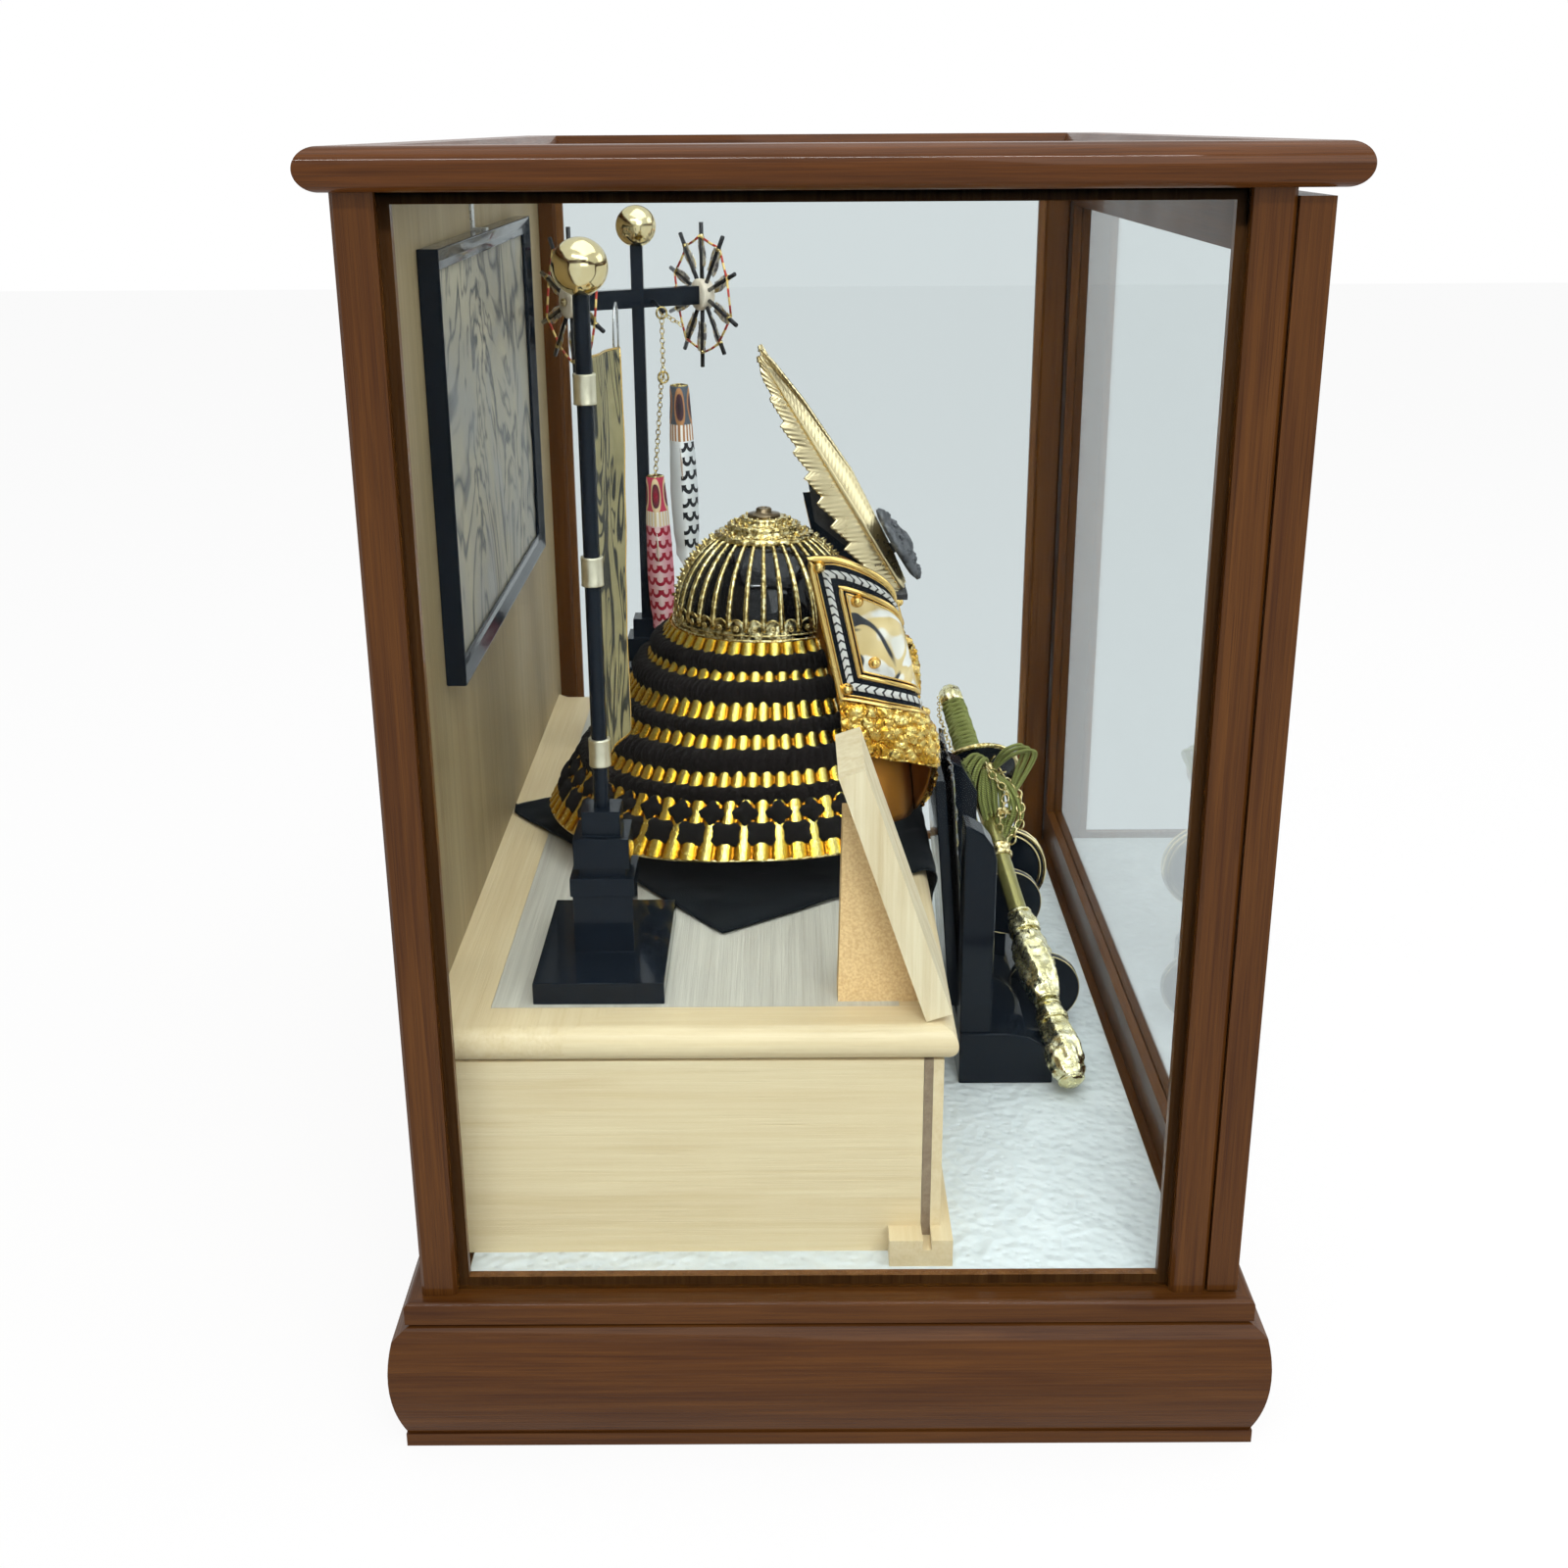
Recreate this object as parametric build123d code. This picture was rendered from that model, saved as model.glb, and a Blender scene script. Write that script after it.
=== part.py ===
"""Glazed wooden display case with a miniature samurai helmet and its ornaments.

Units are millimetres. +X is the case's right-hand end, -Y is the door side, +Z is up.
The origin is at the centre of the foot, on the surface that the case stands on.
"""
import os
from math import cos, radians, sin, sqrt

from build123d import *

os.makedirs("parts", exist_ok=True)

# ---------------------------------------------------------------- case, driving dimensions
CASE_WIDTH = 568.0          # over the outer faces of the corner posts
CASE_DEPTH = 366.0          # door face to the back of the rear posts
PLINTH_HEIGHT = 74.0
GLAZED_HEIGHT = 472.0       # plinth top to the underside of the top frame
TOP_THICKNESS = 16.0
TOP_OVERHANG = 10.0
POST_SIZE = 16.0
POST_BEVEL = 1.6
DOOR_THICKNESS = 13.4
DOOR_GAP = 0.6              # closed door to the front posts
DOOR_FOOT_GAP = 1.0
DOOR_HEAD_GAP = 3.0
DOOR_STILE = 26.0
DOOR_RAIL = 25.0
GLASS = 3.0
GLASS_PLAY = 0.2            # slack of a pane in its groove
GROOVE = 4.0                # depth of the grooves that hold the panes
BEAD = 4.5                  # section of the beads inside the end panes
BACK_PANEL = 4.0

# plinth moulding, all distances outwards from the face of the posts
PLINTH_WALL = 24.0
FOOT_STRIP = 6.5
FOOT_OUT = 10.0
BULGE_OUT = 15.0
BULGE_FOOT_OUT = 9.0
BULGE_HEAD_OUT = 12.5
BULGE_HEAD_Z = 58.0
BEAD_Z = 62.5
LEDGE_OUT = 7.0
LEDGE_ROUND = 2.5

# floor, resting in a rebate of the plinth
BASE_BOARD = 6.0
BASE_REBATE = 18.0
BASE_PLAY = 0.3
FLOOR_SHEET = 1.5
FLOOR_HALF_X = 267.5
FLOOR_HALF_Y = 164.0

# top frame
TOP_INNER = 19.5            # inner upper edge, inwards from the face of the posts
TOP_LIP = 22.5              # inner lower edge
TOP_LIP_HEIGHT = 4.5

# door hinge pins and catch
PIN_INSET = 5.0
PIN_RADIUS = 2.5
PIN_PLAY = 0.05
PIN_LENGTH = 14.0
BUSH_RADIUS = 4.0
BUSH_FLANGE = 5.5
BUSH_FLANGE_THICK = 0.7
BUSH_DEPTH = 9.0
STILE_ROUND = 4.0
MAGNET = (18.0, 8.0, 5.0)
MAGNET_DROP = 40.0
CATCH_PLATE = 1.2

# screws under the plinth corners and in the top frame
SCREW_HEAD = 3.6
SCREW_SHANK = 1.7
SCREW_LENGTH = 22.0

# ---------------------------------------------------------------- platform
PLATFORM_HALF_X = 256.0
PLATFORM_FRONT = -58.0
PLATFORM_TOP = 191.0
PLATFORM_BOARD = 16.0
PLATFORM_BORDER = 25.0
PLATFORM_LIP = 6.0
PLATFORM_PANEL = 4.0
PLATFORM_END_X = 252.5
PLATFORM_END_THICK = 12.0
PLATFORM_END_FRONT = -43.0
PLATFORM_BACK_GAP = 3.0
FACIA_GROOVE = 4.5
FACIA = 4.1
FACIA_TRIM = 4.5
FOOT_RAIL = (-57.0, -28.0)
FOOT_RAIL_HALF_X = 265.0
FOOT_RAIL_HEIGHT = 13.5

# ---------------------------------------------------------------- picture on the back panel
PICTURE_HALF_X = 152.0
PICTURE_FOOT = 320.0
PICTURE_HEIGHT = 198.0
PICTURE_THICK = 10.0
PICTURE_RAIL = 10.0
PICTURE_PANEL = 3.0

# ---------------------------------------------------------------- helmet
HELMET_Y = 27.0
CLOTH_SIDE = 220.0
CLOTH_TURN = -8.5           # turn of the cloth's diagonal from the X axis, degrees
CLOTH_THICK = 1.5
PEDESTAL_HALF = 31.0
PEDESTAL_TOP = 300.0
BOWL_RADIUS = 50.0
BOWL_RIM = 306.0
BOWL_CROWN = 362.0
BOWL_WALL = 2.5
BAND_HEIGHT = 11.0
CROWN_PLATE = 24.0
GUARD_BACK = 10.0           # how far the neck guard's centre lies behind the bowl's
GUARD_FOOT = 205.0
GUARD_TOP_RADIUS = 54.0
GUARD_FOOT_RADIUS = 116.0
LAMES = 5
LAME_THICK = 2.0
GUARD_OPENING = 96.0        # degrees left open towards the front
WING_TOP = 362.0
WING_LEAF_FOOT = 276.0
WING_CURL_FOOT = 240.0
WING_REACH = 84.0
WING_JOINT = 1.6             # front end of a lame to the inner end of a side plate
WING_THICK = 3.0
CREST_LENGTH = 148.0
CREST_LEAN = 31.0           # degrees back from upright
CREST_HALF = 14.0
CREST_THICK = 1.6
CREST_FOOT = 331.0
CREST_FOOT_X = 8.0
CREST_FOOT_Y = -45.0
CREST_SPREAD = 0.12         # how fast the two plates part sideways as they rise
CREST_SKEW = 0.42           # share of a plate's width that runs sideways
CREST_SEAT = 2.2
CREST_OUTLINE = (
    (-0.3, 0), (0.3, 0), (1.0, 0.12), (1.0, 0.45), (0.62, 0.75), (0.1, 1.0), (-0.1, 1.0),
    (-0.42, 0.75), (-0.55, 0.45), (-0.45, 0.12),
)
CREST_CARD = 2.0
CREST_CARD_OUTLINE = (
    (6, 390), (2, 366), (-14, 353), (-27, 339), (-29, 328), (-40, 328), (-36, 338), (-10, 386),
)
BOSS_RADIUS = 21.0
BOSS_THICK = 6.0
BOSS_STAND = 8.0
BOSS_STEM = 3.0
BOSS_STEM_BACK = 5.5        # how far the slotted stem reaches over the card behind it
BOSS_RISE = 20.0

# ---------------------------------------------------------------- plaque
PLAQUE_X = -217.0
PLAQUE_WIDTH = 60.0
PLAQUE_HEIGHT = 122.0
PLAQUE_THICK = 12.0
PLAQUE_LEAN = 19.0
PLAQUE_FOOT_Y = -44.0
PLAQUE_EASEL = 18.0

# ---------------------------------------------------------------- flag stand
FLAG_X = -180.0
FLAG_Y = 104.0
FLAG_BASE = (96.0, 60.0, 10.5)
FLAG_POLE = 3.65
FLAG_POLE_TOP = 501.0
BALL_RADIUS = 12.2
FLAG_WIDTH = 48.0
FLAG_TOP = 474.0
FLAG_HEIGHT = 185.0
FLAG_TURN = -14.0
FLAG_THICK = 1.2
FLAG_TIERS = ((14.0, 28.5), (15.0, 9.0), (11.0, 4.0), (13.0, 15.0), (9.0, 12.0))
FLAG_BANDS = (290.0, 375.0, 455.0)
BAND_RADIUS = 4.6
BAND_LENGTH = 13.0

# ---------------------------------------------------------------- carp stand
CARP_X = 170.0
CARP_Y = 107.0
CARP_BASE = (70.0, 60.0, 10.5)
CARP_TIERS = ((14.0, 28.5), (15.0, 9.0), (11.0, 4.0), (13.0, 15.0), (9.0, 12.0))
CARP_POLE = 7.4
CARP_POLE_TOP = 500.0
ARM_Z = 469.0
ARM_HALF = 40.4
ARM_SECTION = (8.0, 11.0)
ARM_TURN = -58.5            # direction of the arm's front end, degrees from +X
HUB_RADIUS = 9.5
HUB_THICK = 8.0
HUB_GAP = 0.4
AXLE_RADIUS = 1.2
AXLE_PLAY = 0.06
SPOKES = 10
SPOKE_LENGTH = 45.0
SPOKE_SIZE = 2.0
VANE_START = 0.5
VANE_SHARE = 0.38
VANE_THICK = 1.0
VANE_WIDTH = 6.0
CARP_HANG = (150.0, 91.6)
CARP_TOP = 420.0
CARP_LENGTH = 111.0
RED_CARP_TOP = 363.0

# ---------------------------------------------------------------- sword and its stand
SWORD_TIP = Vector(-112.0, -134.3, 84.5)
SWORD_END = Vector(129.8, -84.2, 232.5)
SCABBARD_SHARE = 0.75
SCABBARD_RADIUS = 6.0
HILT_RADIUS = 6.2
GUARD_DISC = 27.0
GUARD_THICK = 2.5
SCABBARD_PLAY = 0.2
STAND_X = (-95.5, 62.0)
STAND_Y = (-126.0, -75.0)
STAND_FOOT_HEIGHT = 30.0
UPRIGHT_X = (-93.0, 12.0)
UPRIGHT_WIDTH = 18.0
UPRIGHT_DEPTH = 17.0
UPRIGHT_STEP = 18.0
UPRIGHT_TOP = 225.0
UPRIGHT_STEP_TOP = 186.0
BRACKET_THICK = 5.0
ROUND_BRACKETS = ((-22.0, -130.0, 96.5, 21.0), (7.0, -114.0, 131.0, 20.0), (50.0, -113.0, 141.5, 26.0))
BACK_BOARD_X = (-60.0, 20.0)
BACK_BOARD_TOP = 238.0
BACK_LEAN = 11.0

# ---------------------------------------------------------------- derived levels and faces
POST_X = CASE_WIDTH / 2
FACE_Y = CASE_DEPTH / 2
TOP_Z = PLINTH_HEIGHT + GLAZED_HEIGHT
CASE_HEIGHT = TOP_Z + TOP_THICKNESS
FRONT_POST_FACE = -FACE_Y + DOOR_THICKNESS + DOOR_GAP
GLASS_FACE = POST_X - 5.0                      # outer face of the end panes
PANEL_FACE = FACE_Y - BACK_PANEL - 1.0         # inner face of the back panel
FLOOR_TOP = PLINTH_HEIGHT + FLOOR_SHEET
DOOR_FOOT = PLINTH_HEIGHT + DOOR_FOOT_GAP
DOOR_HEAD = TOP_Z - DOOR_HEAD_GAP
DOOR_BACK = -FACE_Y + DOOR_THICKNESS
PANE_Y = (FRONT_POST_FACE + POST_SIZE - GROOVE, FACE_Y - POST_SIZE + GROOVE)
PIN_X = POST_X - PIN_INSET
PIN_Y = DOOR_BACK - 9.0
ON_FLOOR = (Align.CENTER, Align.CENTER, Align.MIN)
PIECES = {}


def block(x0, x1, y0, y1, z0, z1):
    """A box between two opposite corners."""
    box = Box(x1 - x0, y1 - y0, z1 - z0, align=(Align.MIN, Align.MIN, Align.MIN))
    return Pos(x0, y0, z0) * box


def rod(x, y, z0, z1, radius):
    """An upright cylinder."""
    return Pos(x, y, z0) * Cylinder(radius, z1 - z0, align=ON_FLOOR)


def bar_between(start, end, radius):
    """A round bar from one point to another."""
    way = end - start
    plane = Plane(origin=start, z_dir=way)
    return plane * Cylinder(radius, way.length, align=ON_FLOOR)


def keep(name, *solids):
    """Record the solids of one named piece."""
    PIECES[name] = solids[0] if len(solids) == 1 else Compound(children=list(solids))


def mitred_rail(outline, half_run, setback, inner, outer):
    """The front rail of a rectangular frame, with mitred ends.

    The outline is a face in X (outwards from the setback plane) and Y (upwards).
    """
    reach = half_run + outer
    plane = Plane(origin=(reach, -setback, 0), x_dir=(0, -1, 0), z_dir=(-1, 0, 0))
    bar = extrude(plane * outline, amount=2 * reach)
    corners = [
        (-(half_run + inner), -(setback + inner)),
        (half_run + inner, -(setback + inner)),
        (half_run + outer, -(setback + outer)),
        (-(half_run + outer), -(setback + outer)),
    ]
    wedge = Pos(0, 0, -1) * extrude(make_face(Polyline(*corners, close=True)), amount=CASE_HEIGHT + 2)
    return bar & wedge


def frame_rails(outline, half_x, half_y, inner, outer):
    """Front, back, left and right rails of a mitred frame about the Z axis."""
    front = mitred_rail(outline, half_x, half_y, inner, outer)
    side = mitred_rail(outline, half_y, half_x, inner, outer)
    back = Rot(0, 0, 180) * front
    left = Rot(0, 0, -90) * side
    right = Rot(0, 0, 90) * side
    return front, back, left, right


# ---------------------------------------------------------------- the case
def plinth_outline():
    """Moulded section of the plinth: foot strip, swelling, hollow and rounded ledge."""
    bulge_mid = (BULGE_OUT, (FOOT_STRIP + BULGE_HEAD_Z) / 2 + 6)
    hollow_mid = (BULGE_HEAD_OUT - 4.2, BEAD_Z - 1.6)
    groove = LEDGE_OUT - 2.0
    with BuildLine() as line:
        Polyline((-PLINTH_WALL, 0), (FOOT_OUT, 0), (FOOT_OUT, FOOT_STRIP), (BULGE_FOOT_OUT, FOOT_STRIP))
        ThreePointArc((BULGE_FOOT_OUT, FOOT_STRIP), bulge_mid, (BULGE_HEAD_OUT, BULGE_HEAD_Z))
        ThreePointArc((BULGE_HEAD_OUT, BULGE_HEAD_Z), hollow_mid, (groove, BEAD_Z))
        Line((groove, BEAD_Z), (groove, BEAD_Z + 1.0))
        Line((groove, BEAD_Z + 1.0), (LEDGE_OUT, BEAD_Z + 1.0))
        Line((LEDGE_OUT, BEAD_Z + 1.0), (LEDGE_OUT, PLINTH_HEIGHT - LEDGE_ROUND))
        ThreePointArc(
            (LEDGE_OUT, PLINTH_HEIGHT - LEDGE_ROUND),
            (LEDGE_OUT - 0.3 * LEDGE_ROUND, PLINTH_HEIGHT - 0.3 * LEDGE_ROUND),
            (LEDGE_OUT - LEDGE_ROUND, PLINTH_HEIGHT),
        )
        rebate_foot = PLINTH_HEIGHT - BASE_BOARD
        Polyline(
            (LEDGE_OUT - LEDGE_ROUND, PLINTH_HEIGHT),
            (-BASE_REBATE, PLINTH_HEIGHT),
            (-BASE_REBATE, rebate_foot),
            (-PLINTH_WALL, rebate_foot),
            (-PLINTH_WALL, 0),
        )
    return make_face(line.line)


def top_outline():
    """Section of the top frame: bullnose outside, glass groove and chamfer inside."""
    nose = TOP_THICKNESS / 2
    groove_foot = TOP_Z + TOP_LIP_HEIGHT
    groove_head = groove_foot + GLASS + GLASS_PLAY
    with BuildLine() as line:
        Line((-TOP_LIP, TOP_Z), (TOP_OVERHANG - nose, TOP_Z))
        ThreePointArc(
            (TOP_OVERHANG - nose, TOP_Z), (TOP_OVERHANG, TOP_Z + nose), (TOP_OVERHANG - nose, CASE_HEIGHT)
        )
        Polyline(
            (TOP_OVERHANG - nose, CASE_HEIGHT),
            (-TOP_INNER, CASE_HEIGHT),
            (-TOP_LIP, groove_head + 1.5),
            (-TOP_LIP, groove_head),
            (GROOVE - TOP_LIP, groove_head),
            (GROOVE - TOP_LIP, groove_foot),
            (-TOP_LIP, groove_foot),
            (-TOP_LIP, TOP_Z),
        )
    return make_face(line.line)


def pane_slot(side, z0, z1, y0, y1):
    """The space of an end pane and its slack, used to cut the grooves around it."""
    outer = GLASS_FACE + GLASS_PLAY / 2
    inner = GLASS_FACE - GLASS - GLASS_PLAY / 2
    return block(min(side * inner, side * outer), max(side * inner, side * outer), y0, y1, z0, z1)


def build_plinth():
    front, back, left, right = frame_rails(plinth_outline(), POST_X, FACE_Y, -PLINTH_WALL, BULGE_OUT + 1)
    bush_hole = rod(PIN_X, PIN_Y, PLINTH_HEIGHT - BUSH_DEPTH, PLINTH_HEIGHT + 1, BUSH_RADIUS)
    rails = [front - bush_hole, back]
    for side, rail in ((-1, left), (1, right)):
        groove = pane_slot(side, PLINTH_HEIGHT - GROOVE, PLINTH_HEIGHT + 1, *PANE_Y)
        rails.append(rail - bush_hole - groove if side > 0 else rail - groove)
    keep("plinth_rails", *rails)

    blocks = []
    leg = 40.0
    height = PLINTH_HEIGHT - BASE_BOARD
    for sx in (-1, 1):
        for sy in (-1, 1):
            corner = (sx * (POST_X - PLINTH_WALL), sy * (FACE_Y - PLINTH_WALL))
            face = make_face(
                Polyline(
                    corner, (corner[0] - sx * leg, corner[1]), (corner[0], corner[1] - sy * leg), close=True
                )
            )
            blocks.append(Pos(0, 0, 6) * extrude(face, amount=height - 6))
    keep("plinth_corner_blocks", *blocks)


def build_floor():
    half_x = POST_X - BASE_REBATE - BASE_PLAY
    half_y = FACE_Y - BASE_REBATE - BASE_PLAY
    keep("base_board", block(-half_x, half_x, -half_y, half_y, PLINTH_HEIGHT - BASE_BOARD, PLINTH_HEIGHT))
    sheet = block(-FLOOR_HALF_X, FLOOR_HALF_X, -FLOOR_HALF_Y, FLOOR_HALF_Y, PLINTH_HEIGHT, FLOOR_TOP)
    keep("floor_sheet", sheet)


def post(x_sign, y0):
    """A corner post with bevelled long edges, standing between plinth and top frame."""
    x0, x1 = sorted((x_sign * POST_X, x_sign * (POST_X - POST_SIZE)))
    stick = block(x0, x1, y0, y0 + POST_SIZE, PLINTH_HEIGHT, TOP_Z)
    return chamfer(stick.edges().filter_by(Axis.Z), POST_BEVEL)


def build_posts():
    magnet_z = DOOR_HEAD - MAGNET_DROP
    front = []
    for side in (-1, 1):
        stick = post(side, FRONT_POST_FACE)
        stick -= pane_slot(side, PLINTH_HEIGHT - 1, TOP_Z + 1, *PANE_Y)
        if side < 0:
            stick -= magnet_space(magnet_z)
        front.append(stick)
    keep("front_posts", *front)
    rear = []
    for side in (-1, 1):
        stick = post(side, FACE_Y - POST_SIZE)
        stick -= pane_slot(side, PLINTH_HEIGHT - 1, TOP_Z + 1, *PANE_Y)
        x0, x1 = sorted((side * (POST_X - POST_SIZE - 1), side * (POST_X - POST_SIZE + 8)))
        stick -= block(x0, x1, PANEL_FACE, FACE_Y + 1, PLINTH_HEIGHT - 1, TOP_Z + 1)
        rear.append(stick)
    keep("back_posts", *rear)


def magnet_space(z):
    """The mortise of the catch magnet in the front face of the left post."""
    x = -(POST_X - POST_SIZE / 2)
    length, width, depth = MAGNET
    back = FRONT_POST_FACE + depth
    return block(x - width / 2, x + width / 2, FRONT_POST_FACE, back, z - length / 2, z + length / 2)


def build_top():
    rails = frame_rails(top_outline(), POST_X, FACE_Y, -TOP_LIP, TOP_OVERHANG + 1)
    bush_hole = rod(PIN_X, PIN_Y, TOP_Z - 1, TOP_Z + BUSH_DEPTH, BUSH_RADIUS)
    front, back, left, right = rails
    left -= pane_slot(-1, TOP_Z - 1, TOP_Z + GROOVE, *PANE_Y)
    right -= pane_slot(1, TOP_Z - 1, TOP_Z + GROOVE, *PANE_Y)
    keep("top_rails", front - bush_hole, back, left, right - bush_hole)

    half_x = POST_X - TOP_LIP + GROOVE - GLASS_PLAY
    half_y = FACE_Y - TOP_LIP + GROOVE - GLASS_PLAY
    foot = TOP_Z + TOP_LIP_HEIGHT
    keep("top_glass", block(-half_x, half_x, -half_y, half_y, foot, foot + GLASS))


def build_glazing():
    panes = []
    beads = []
    y0, y1 = PANE_Y
    z0 = PLINTH_HEIGHT - GROOVE
    z1 = TOP_Z + GROOVE
    bead_outer = GLASS_FACE - GLASS
    bead_inner = bead_outer - BEAD
    inner_y0 = FRONT_POST_FACE + POST_SIZE
    post_y1 = FACE_Y - POST_SIZE
    for side in (-1, 1):
        a, b = sorted((side * GLASS_FACE, side * bead_outer))
        panes.append(block(a, b, y0 + GLASS_PLAY, y1 - GLASS_PLAY, z0, z1 - GLASS_PLAY))
        a, b = sorted((side * bead_outer, side * bead_inner))
        beads.append(block(a, b, inner_y0, post_y1, PLINTH_HEIGHT, PLINTH_HEIGHT + BEAD))
        beads.append(block(a, b, inner_y0, post_y1, TOP_Z - BEAD, TOP_Z))
        beads.append(block(a, b, inner_y0, inner_y0 + BEAD, PLINTH_HEIGHT + BEAD, TOP_Z - BEAD))
        beads.append(block(a, b, post_y1 - BEAD, post_y1, PLINTH_HEIGHT + BEAD, TOP_Z - BEAD))
    keep("side_glasses", *panes)
    keep("glass_beads", *beads)
    half_x = POST_X - POST_SIZE + 8 - GLASS_PLAY
    keep("back_panel", block(-half_x, half_x, PANEL_FACE, PANEL_FACE + BACK_PANEL, PLINTH_HEIGHT, TOP_Z))


def screw(x, y, z, up):
    """A countersunk screw whose head is flush at z, pointing up (1) or down (-1)."""
    turn = Rot(0, 0, 0) if up > 0 else Rot(180, 0, 0)
    head = Cone(SCREW_HEAD, SCREW_SHANK, 2.2, align=ON_FLOOR)
    shank = Cylinder(SCREW_SHANK, SCREW_LENGTH, align=ON_FLOOR)
    return Pos(x, y, z) * turn * (head + shank)


def build_screws():
    """Screws from the corner blocks up into the base board's rim are left inside the blocks."""
    screws = []
    offset = PLINTH_WALL + 12.0
    for sx in (-1, 1):
        for sy in (-1, 1):
            screws.append(screw(sx * (POST_X - offset), sy * (FACE_Y - offset), 6.0, 1))
    blocks = PIECES["plinth_corner_blocks"]
    cut = []
    for solid in blocks.solids():
        for item in screws:
            solid = solid - item
        cut.append(solid)
    keep("plinth_corner_blocks", *cut)
    keep("block_screws", *screws)


# ---------------------------------------------------------------- the door
def door_member(x0, x1, z0, z1):
    return block(x0, x1, -FACE_Y, DOOR_BACK, z0, z1)


def build_door():
    pane_mid = -FACE_Y + DOOR_THICKNESS / 2
    slot_y = (pane_mid - GLASS / 2 - GLASS_PLAY / 2, pane_mid + GLASS / 2 + GLASS_PLAY / 2)
    inner_x = POST_X - DOOR_STILE
    rail_foot = DOOR_FOOT + DOOR_RAIL
    rail_head = DOOR_HEAD - DOOR_RAIL
    slot = block(
        -inner_x - GROOVE, inner_x + GROOVE, slot_y[0], slot_y[1], rail_foot - GROOVE, rail_head + GROOVE
    )
    hinge = door_member(inner_x, POST_X, DOOR_FOOT, DOOR_HEAD)
    back_corner = hinge.edges().filter_by(Axis.Z).sort_by(lambda e: e.center().X + e.center().Y)[-1]
    hinge = fillet(back_corner, STILE_ROUND)
    hinge -= slot
    hinge -= rod(PIN_X, PIN_Y, DOOR_FOOT - 1, DOOR_FOOT + PIN_LENGTH, PIN_RADIUS)
    hinge -= rod(PIN_X, PIN_Y, DOOR_HEAD - PIN_LENGTH, DOOR_HEAD + 1, PIN_RADIUS)
    keep("door_hinge_stile", hinge)

    lock = door_member(-POST_X, -inner_x, DOOR_FOOT, DOOR_HEAD) - slot
    plate_z = DOOR_HEAD - MAGNET_DROP
    plate_x = -(POST_X - POST_SIZE / 2)
    length, width, _ = MAGNET
    plate = block(
        plate_x - width / 2, plate_x + width / 2, DOOR_BACK - CATCH_PLATE, DOOR_BACK,
        plate_z - length / 2, plate_z + length / 2,
    )
    keep("door_lock_stile", lock - plate)
    keep("catch_plate", plate)
    rails = [
        door_member(-inner_x, inner_x, DOOR_FOOT, rail_foot) - slot,
        door_member(-inner_x, inner_x, rail_head, DOOR_HEAD) - slot,
    ]
    keep("door_rails", *rails)
    pane = block(
        -inner_x - GROOVE + GLASS_PLAY, inner_x + GROOVE - GLASS_PLAY,
        pane_mid - GLASS / 2, pane_mid + GLASS / 2,
        rail_foot - GROOVE, rail_head + GROOVE - GLASS_PLAY,
    )
    keep("door_glass", pane)

    foot_pin = rod(PIN_X, PIN_Y, PLINTH_HEIGHT - BUSH_DEPTH + 1.5, DOOR_FOOT + PIN_LENGTH, PIN_RADIUS)
    head_pin = rod(PIN_X, PIN_Y, DOOR_HEAD - PIN_LENGTH, TOP_Z + BUSH_DEPTH - 1.5, PIN_RADIUS)
    keep("door_pivot_pins", foot_pin, head_pin)

    bore = PIN_RADIUS + PIN_PLAY
    foot_bush = rod(PIN_X, PIN_Y, PLINTH_HEIGHT - BUSH_DEPTH, PLINTH_HEIGHT, BUSH_RADIUS)
    foot_bush += rod(PIN_X, PIN_Y, PLINTH_HEIGHT, PLINTH_HEIGHT + BUSH_FLANGE_THICK, BUSH_FLANGE - 1.2)
    foot_bush -= rod(PIN_X, PIN_Y, PLINTH_HEIGHT - BUSH_DEPTH + 1, PLINTH_HEIGHT + 2, bore)
    head_bush = rod(PIN_X, PIN_Y, TOP_Z, TOP_Z + BUSH_DEPTH, BUSH_RADIUS)
    head_bush += rod(PIN_X, PIN_Y, TOP_Z - BUSH_FLANGE_THICK, TOP_Z, BUSH_FLANGE - 1.2)
    head_bush -= rod(PIN_X, PIN_Y, TOP_Z - 2, TOP_Z + BUSH_DEPTH - 1, bore)
    keep("hinge_bushes", foot_bush, head_bush)

    magnet = magnet_space(plate_z)
    keep("catch_magnet", magnet)


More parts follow.
